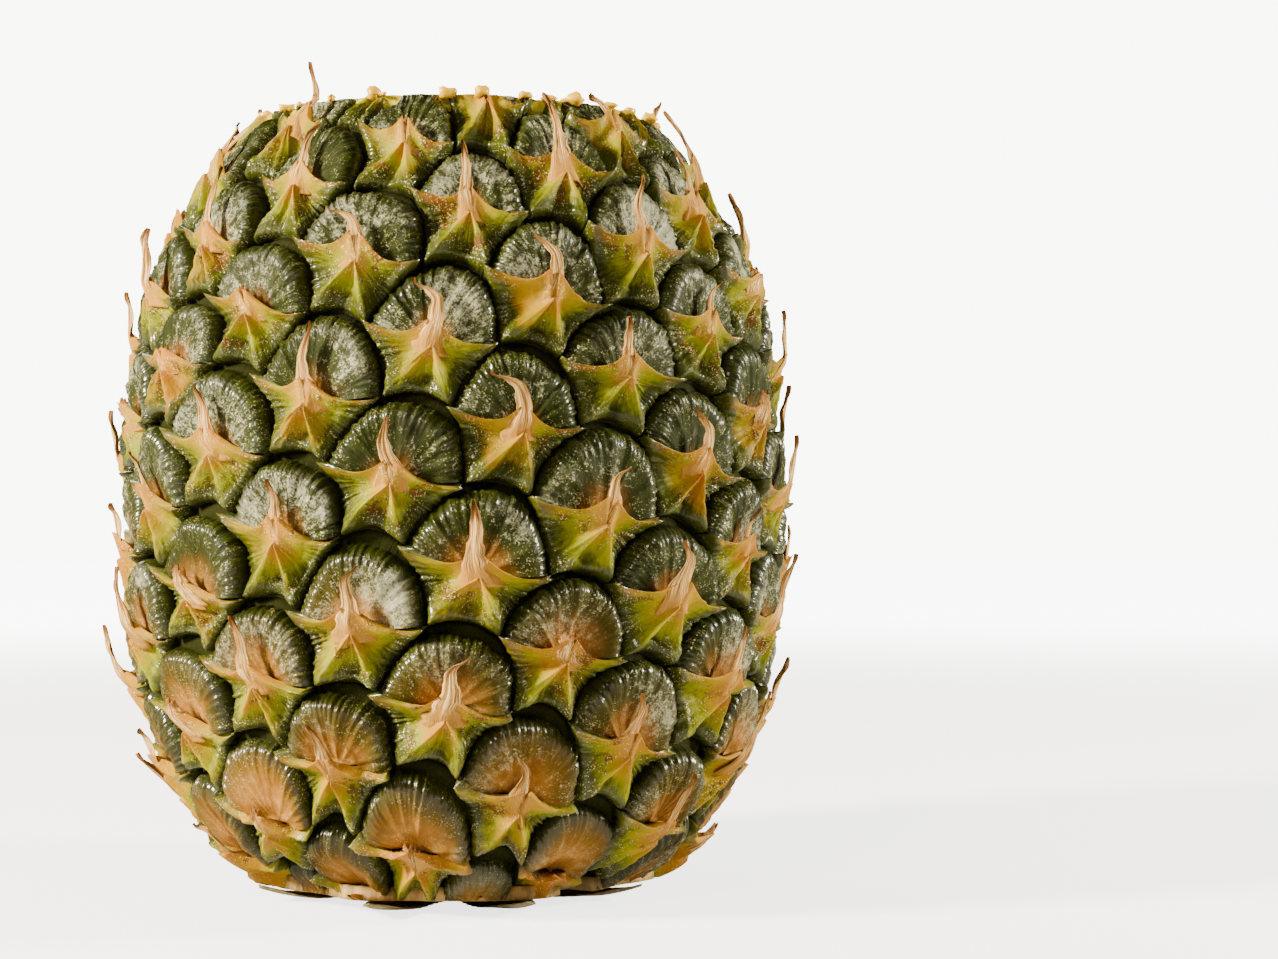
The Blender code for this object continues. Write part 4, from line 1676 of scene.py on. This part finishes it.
def turned_body(reach: np.ndarray, height: np.ndarray, ring: bool) -> Sheet:
    """Body turned round the axis.

    Args:
        reach: distance from the axis, a row of stations for each step round.
        height: level, in the same order.
        ring: True for a ring whose profile closes on itself, False for a solid whose
            profile starts and ends on the axis.
    Returns:
        A closed body with its map and its spot attribute.
    """
    steps, stations = reach.shape
    turn = np.arange(steps) / steps * TAU
    x, y = reach * np.cos(turn)[:, None], reach * np.sin(turn)[:, None]
    points = np.stack([x, y, height], axis=-1).reshape(-1, 3)
    share = np.linspace(0.0, 1.0, stations + 1 if ring else stations)
    spans = stations if ring else stations - 1
    up = 0.01 + 0.98 * share
    round_map = 0.01 + 0.98 * np.arange(steps + 1) / steps
    faces: Faces = []
    corner_map: Places = []
    start = steps * stations
    for j in range(steps):
        near, far = j * stations, (j + 1) % steps * stations
        first, last = round_map[j], round_map[j + 1]
        for i in range(spans):
            n = (i + 1) % stations
            faces.append((near + i, far + i, far + n, near + n))
            corner_map += [(first, up[i]), (last, up[i]), (last, up[i + 1]), (first, up[i + 1])]
        if not ring:
            faces += [(start, far, near),
                      (start + 1, near + stations - 1, far + stations - 1)]
            corner_map += [(first, 0.0), (last, 0.01), (first, 0.01),
                           (first, 1.0), (first, 0.99), (last, 0.99)]
    if not ring:
        points = np.concatenate([points, [[0.0, 0.0, float(height[:, 0].mean())],
                                          [0.0, 0.0, float(height[:, -1].mean())]]])
    span = np.maximum(np.hypot(points[:, 0], points[:, 1]), 1e-6)
    spot = np.stack([points[:, 0] / span, points[:, 1] / span, points[:, 2] * 40.0], axis=-1)
    return Sheet(points, faces, np.array(corner_map), {"spot": spot})


@dataclass
class Underside:
    """Dry scarred ring under the fruit, round the stalk."""

    rule: FruitRule
    places: Places
    hole_radius: float = 13.7 * MM
    rim_gap: float = 1.0 * MM
    unevenness: float = 0.15 * MM
    thickness: float = 2.5 * MM
    steps: int = 240
    stations: int = 26
    seed: int = 5
    finish: PlainFinish = PlainFinish("underside", (0.20, 0.115, 0.022), (0.42, 0.24, 0.07),
                                      (0.06, 0.035, 0.010), 0.75, (7.0, 7.0, 1.0))

    def build(self) -> bpy.types.Object:
        """Make the ring.

        Returns:
            The piece.
        """
        random = np.random.default_rng(self.seed)
        rim = rim_reach(self.places, self.steps) - self.rim_gap
        share = np.linspace(0.0, 1.0, self.stations)
        low = self.hole_radius + share[None, :] * (rim[:, None] - self.hole_radius)
        wave = blurred(random, (self.stations, self.steps), 2, 2).T
        under = self.rule.underside_height - self.unevenness + self.unevenness * wave
        reach = np.concatenate([low, low[:, [-1, 0]]], axis=1)
        over = np.full((self.steps, 2), self.rule.underside_height + self.thickness)
        height = np.concatenate([under, over], axis=1)
        return piece_of(turned_body(reach, height, True), "underside", self.finish.build())


@dataclass
class Stalk:
    """Cut end of the stalk, fibrous and faintly five-sided."""

    radius: float = 13.0 * MM
    taper: float = 1.2 * MM
    length: float = 12.0 * MM
    lobe: float = 0.35 * MM
    lobe_count: int = 5
    face_stations: int = 26
    side_stations: int = 24
    roughness: float = 0.10 * MM
    face_inset: float = 0.15 * MM
    side_inset: float = 0.12 * MM
    steps: int = 200
    seed: int = 8
    finish: PlainFinish = PlainFinish("stalk", (0.36, 0.21, 0.075), (0.58, 0.42, 0.20),
                                      (0.14, 0.070, 0.020), 0.8, (9.0, 9.0, 0.6))

    def build(self) -> bpy.types.Object:
        """Make the stub from the middle of its lower face to the middle of its upper one.

        Returns:
            The piece.
        """
        random = np.random.default_rng(self.seed)
        turn = np.arange(self.steps) / self.steps * TAU
        lobed = self.lobe * np.cos(self.lobe_count * turn)
        face = np.linspace(0.04, 0.985, self.face_stations)
        side = np.linspace(0.0, 1.0, self.side_stations)
        rough = blurred(random, (len(face), self.steps), 1, 1).T
        grooves = blurred(random, (len(side), self.steps), 8, 1).T
        low = face[None, :] * (self.radius + lobed)[:, None]
        wall = (self.radius + lobed)[:, None] - side[None, :] * self.taper
        wall = wall - self.side_inset + self.roughness * grooves
        reach = np.concatenate([low, wall, wall[:, -1:] * 0.5], axis=1)
        ends = self.roughness * (1.0 + rough)
        ends[:, -1] = 0.0
        rise = self.face_inset + side * (self.length - self.face_inset)
        rise = np.tile(rise, (self.steps, 1))
        top = np.full((self.steps, 1), self.length)
        height = np.concatenate([ends, rise, top], axis=1)
        return piece_of(turned_body(reach, height, False), "stalk_end", self.finish.build())


@dataclass
class BasalLeaves:
    """Small dry leaves that lie under the fruit and curl up at their tips."""

    count: int = 9
    root_reach: float = 13.9 * MM
    reach: float = 46.0 * MM
    uneven: float = 1.5 * MM
    width: float = 14.0 * MM
    tip_width: float = 1.0 * MM
    root_swell: float = 0.24
    off_turn: float = 0.2
    lift_start: float = 30.8 * MM
    tip_lift: float = 2.6 * MM
    leaf_gap: float = 0.4 * MM
    tooth_depth: float = 0.35 * MM
    tip_sway: float = 0.8 * MM
    floor_gap: float = 0.05 * MM
    wave_height: float = 0.14 * MM
    channel_depth: float = 0.35 * MM
    root_thickness: float = 0.9 * MM
    rib_height: float = 0.06 * MM
    stations: int = 46
    across: int = 15
    seed: int = 60
    finish: PlainFinish = PlainFinish("dry_leaf", (0.105, 0.085, 0.022), (0.30, 0.20, 0.075),
                                      (0.030, 0.026, 0.009), 0.6, (9.0, 0.9, 1.0))

    def build(self) -> list[bpy.types.Object]:
        """Make every leaf."""
        material = self.finish.build()
        return [piece_of(self.leaf(i), f"leaf_{i + 1}", material) for i in range(self.count)]

    def leaf(self, number: int) -> Sheet:
        """Make one blade, channelled, with a raised midrib, wavy margins and small teeth.

        Args:
            number: the leaf's number, from 0.
        Returns:
            The blade in its place.
        """
        random = np.random.default_rng(self.seed + number)
        share = np.linspace(0.0, 1.0, self.stations)[:, None]
        side = np.linspace(-1.0, 1.0, self.across)[None, :]
        tip = self.reach - self.uneven * (number % 3)
        reach = self.root_reach + share * (tip - self.root_reach)
        swell = np.sin(math.pi * (self.root_swell + (1.0 - self.root_swell) * share))
        half = 0.5 * (self.tip_width + (self.width - self.tip_width) * swell)
        sector = reach * math.sin(math.pi / self.count) - self.leaf_gap
        teeth = self.tooth_depth * (np.arange(self.stations) % 3 == 1)[:, None]
        half = np.minimum(half, sector) - teeth * np.abs(side) ** 6
        sway = random.uniform(-self.tip_sway, self.tip_sway) * smooth(0.4, 1.0, share)
        x = side * half + sway
        lift = self.tip_lift * (np.clip(reach - self.lift_start, 0.0, None)
                                / (tip - self.lift_start)) ** 1.8
        wave = self.wave_height * (1.0 + np.sin(13.0 * share + 3.0 * side + number))
        channel = self.channel_depth * side ** 2 * smooth(0.15, 0.6, share)
        low = self.floor_gap + lift + wave * np.abs(side) + channel
        thick = self.root_thickness * (1.0 - 0.5 * share) * (1.0 - 0.62 * np.abs(side) ** 1.5)
        ribs = self.rib_height * np.cos(16.0 * side)
        turn = TAU * (number + self.off_turn) / self.count
        along = reach * math.cos(turn) - x * math.sin(turn)
        beside = reach * math.sin(turn) + x * math.cos(turn)
        high = low + thick + ribs * (1.0 - side ** 2)
        front, rear = (np.stack([along, beside, level], axis=-1) for level in (high, low))
        run = np.repeat(share.ravel(), self.across)
        over = np.tile(0.5 + 0.5 * side.ravel(), self.stations)
        flat = np.stack([0.02 + 0.95 * run, 0.03 + 0.43 * over], axis=-1)
        flat = np.concatenate([flat, flat + np.array([0.0, 0.5])])
        spot = np.tile(np.stack([over, run, np.full(len(run), 3.0 * number)], axis=-1), (2, 1))
        return blade_sheet(front, rear, flat, {"spot": spot}, mirrored=True)


# --------------------------------------------------------------------- running it
@dataclass
class Studio:
    """Pale floor, soft lamps and the camera."""

    rule: FruitRule
    sensor: float = 36.0
    lens: float = 67.6
    distance: float = 0.495
    eye_level: float = 77.0 * MM
    aim_right: float = math.radians(4.36)
    aim_up: float = math.radians(0.70)
    floor_size: float = 6.0
    ambient: float = 0.055
    backdrop: float = 9.0
    floor_glow: float = 2.8

    def build(self) -> None:
        """Set everything up."""
        self.camera()
        self.floor()
        self.lamp("left_key", (-1.05, -0.42, 0.55), 0.20, 98.0, (1.0, 0.92, 0.72))
        self.lamp("front_key", (-0.40, -1.10, 0.85), 0.20, 10.0, (1.0, 0.90, 0.70))
        self.lamp("right_rim", (1.00, -0.05, 0.40), 0.22, 42.0, (1.0, 0.94, 0.78))
        self.lamp("back_rim", (-0.50, 0.95, 0.80), 0.40, 8.0, (1.0, 0.97, 0.90))
        self.surroundings()

    def surroundings(self) -> None:
        """Light softly from all round, with a brighter backdrop for the camera alone."""
        world = bpy.data.worlds.new("studio")
        world.use_nodes = True
        graph = Graph(world.node_tree)
        back = world.node_tree.nodes["Background"]
        seen = Value(graph, graph.add("ShaderNodeLightPath").outputs["Is Camera Ray"])
        graph.feed(back.inputs["Strength"], self.ambient + seen * (self.backdrop - self.ambient))
        back.inputs["Color"].default_value = (1.0, 0.98, 0.95, 1.0)
        bpy.context.scene.world = world

    def camera(self) -> None:
        """Stand the camera level in front, turned a little so that the fruit is left of centre."""
        data = bpy.data.cameras.new("camera")
        data.sensor_width = self.sensor
        data.lens = self.lens
        data.clip_start = 0.01
        camera = bpy.data.objects.new("camera", data)
        camera.location = (0.0, -self.distance, self.eye_level)
        camera.rotation_euler = (math.pi / 2.0 + self.aim_up, 0.0, -self.aim_right)
        bpy.context.scene.collection.objects.link(camera)
        bpy.context.scene.camera = camera

    def lamp(self, name: str, place: tuple[float, float, float], size: float, power: float,
             colour: Colour) -> None:
        """Hang a soft square lamp that faces the fruit's middle.

        Args:
            name: its name.
            place: where it hangs.
            size: length of its side.
            power: its power in watts.
            colour: its colour.
        """
        data = bpy.data.lights.new(name, "AREA")
        data.size = size
        data.energy = power
        data.color = colour
        lamp = bpy.data.objects.new(name, data)
        lamp.location = place
        aim = Vector((0.0, 0.0, 0.5 * self.rule.cut_height)) - Vector(place)
        lamp.rotation_euler = aim.to_track_quat("-Z", "Y").to_euler()
        bpy.context.scene.collection.objects.link(lamp)

    def floor(self) -> None:
        """Lay the pale floor just under the fruit."""
        half, drop = 0.5 * self.floor_size, -0.2 * MM
        corners = [(-half, -half, drop), (half, -half, drop), (half, half, drop),
                   (-half, half, drop)]
        mesh = bpy.data.meshes.new("floor")
        mesh.from_pydata(corners, [], [(0, 1, 2, 3)])
        material, graph, shader = new_material("floor")
        seen = Value(graph, graph.add("ShaderNodeLightPath").outputs["Is Camera Ray"])
        x, y, _ = graph.parts(graph.add("ShaderNodeTexCoord").outputs["Object"])
        far = ((x * x + y * y) ** 0.5).between(0.25, 1.5)
        glow = far * far * (3.0 - 2.0 * far) * (self.backdrop - self.floor_glow) + self.floor_glow
        dress(graph, shader, {"Base Color": (0.55, 0.55, 0.55, 1.0), "Roughness": 0.9,
                              "Emission Color": (1.0, 1.0, 1.0, 1.0),
                              "Emission Strength": seen * glow})
        mesh.materials.append(material)
        link("floor", mesh)


def stand_for(piece: bpy.types.Object, node: str) -> None:
    """Say which body a piece rides and which node it stands for.

    Args:
        piece: the piece.
        node: the CAD node.
    """
    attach(piece, "root")
    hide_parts(node)
    LOG.info("%s stands for %s: %d faces", piece.name, node, len(piece.data.polygons))


def main() -> None:
    """Build every piece in order and say what it stands for."""
    logging.basicConfig(level=logging.INFO, format="%(name)s: %(message)s")
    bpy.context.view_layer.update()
    rule = FruitRule()
    Studio(rule).build()
    rind = Rind(rule)
    for row in rind.build():
        stand_for(row, "pineapple_fruit")
    stand_for(CutFace(rule, rind.section_points).build(), "pineapple_fruit")
    stand_for(Underside(rule, rind.floor_points).build(), "pineapple_fruit")
    stand_for(Stalk().build(), "stalk_stub")
    for i, leaf in enumerate(BasalLeaves().build()):
        stand_for(leaf, f"basal_leaf_{i + 1}")
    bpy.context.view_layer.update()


if __name__ == "__main__":
    main()
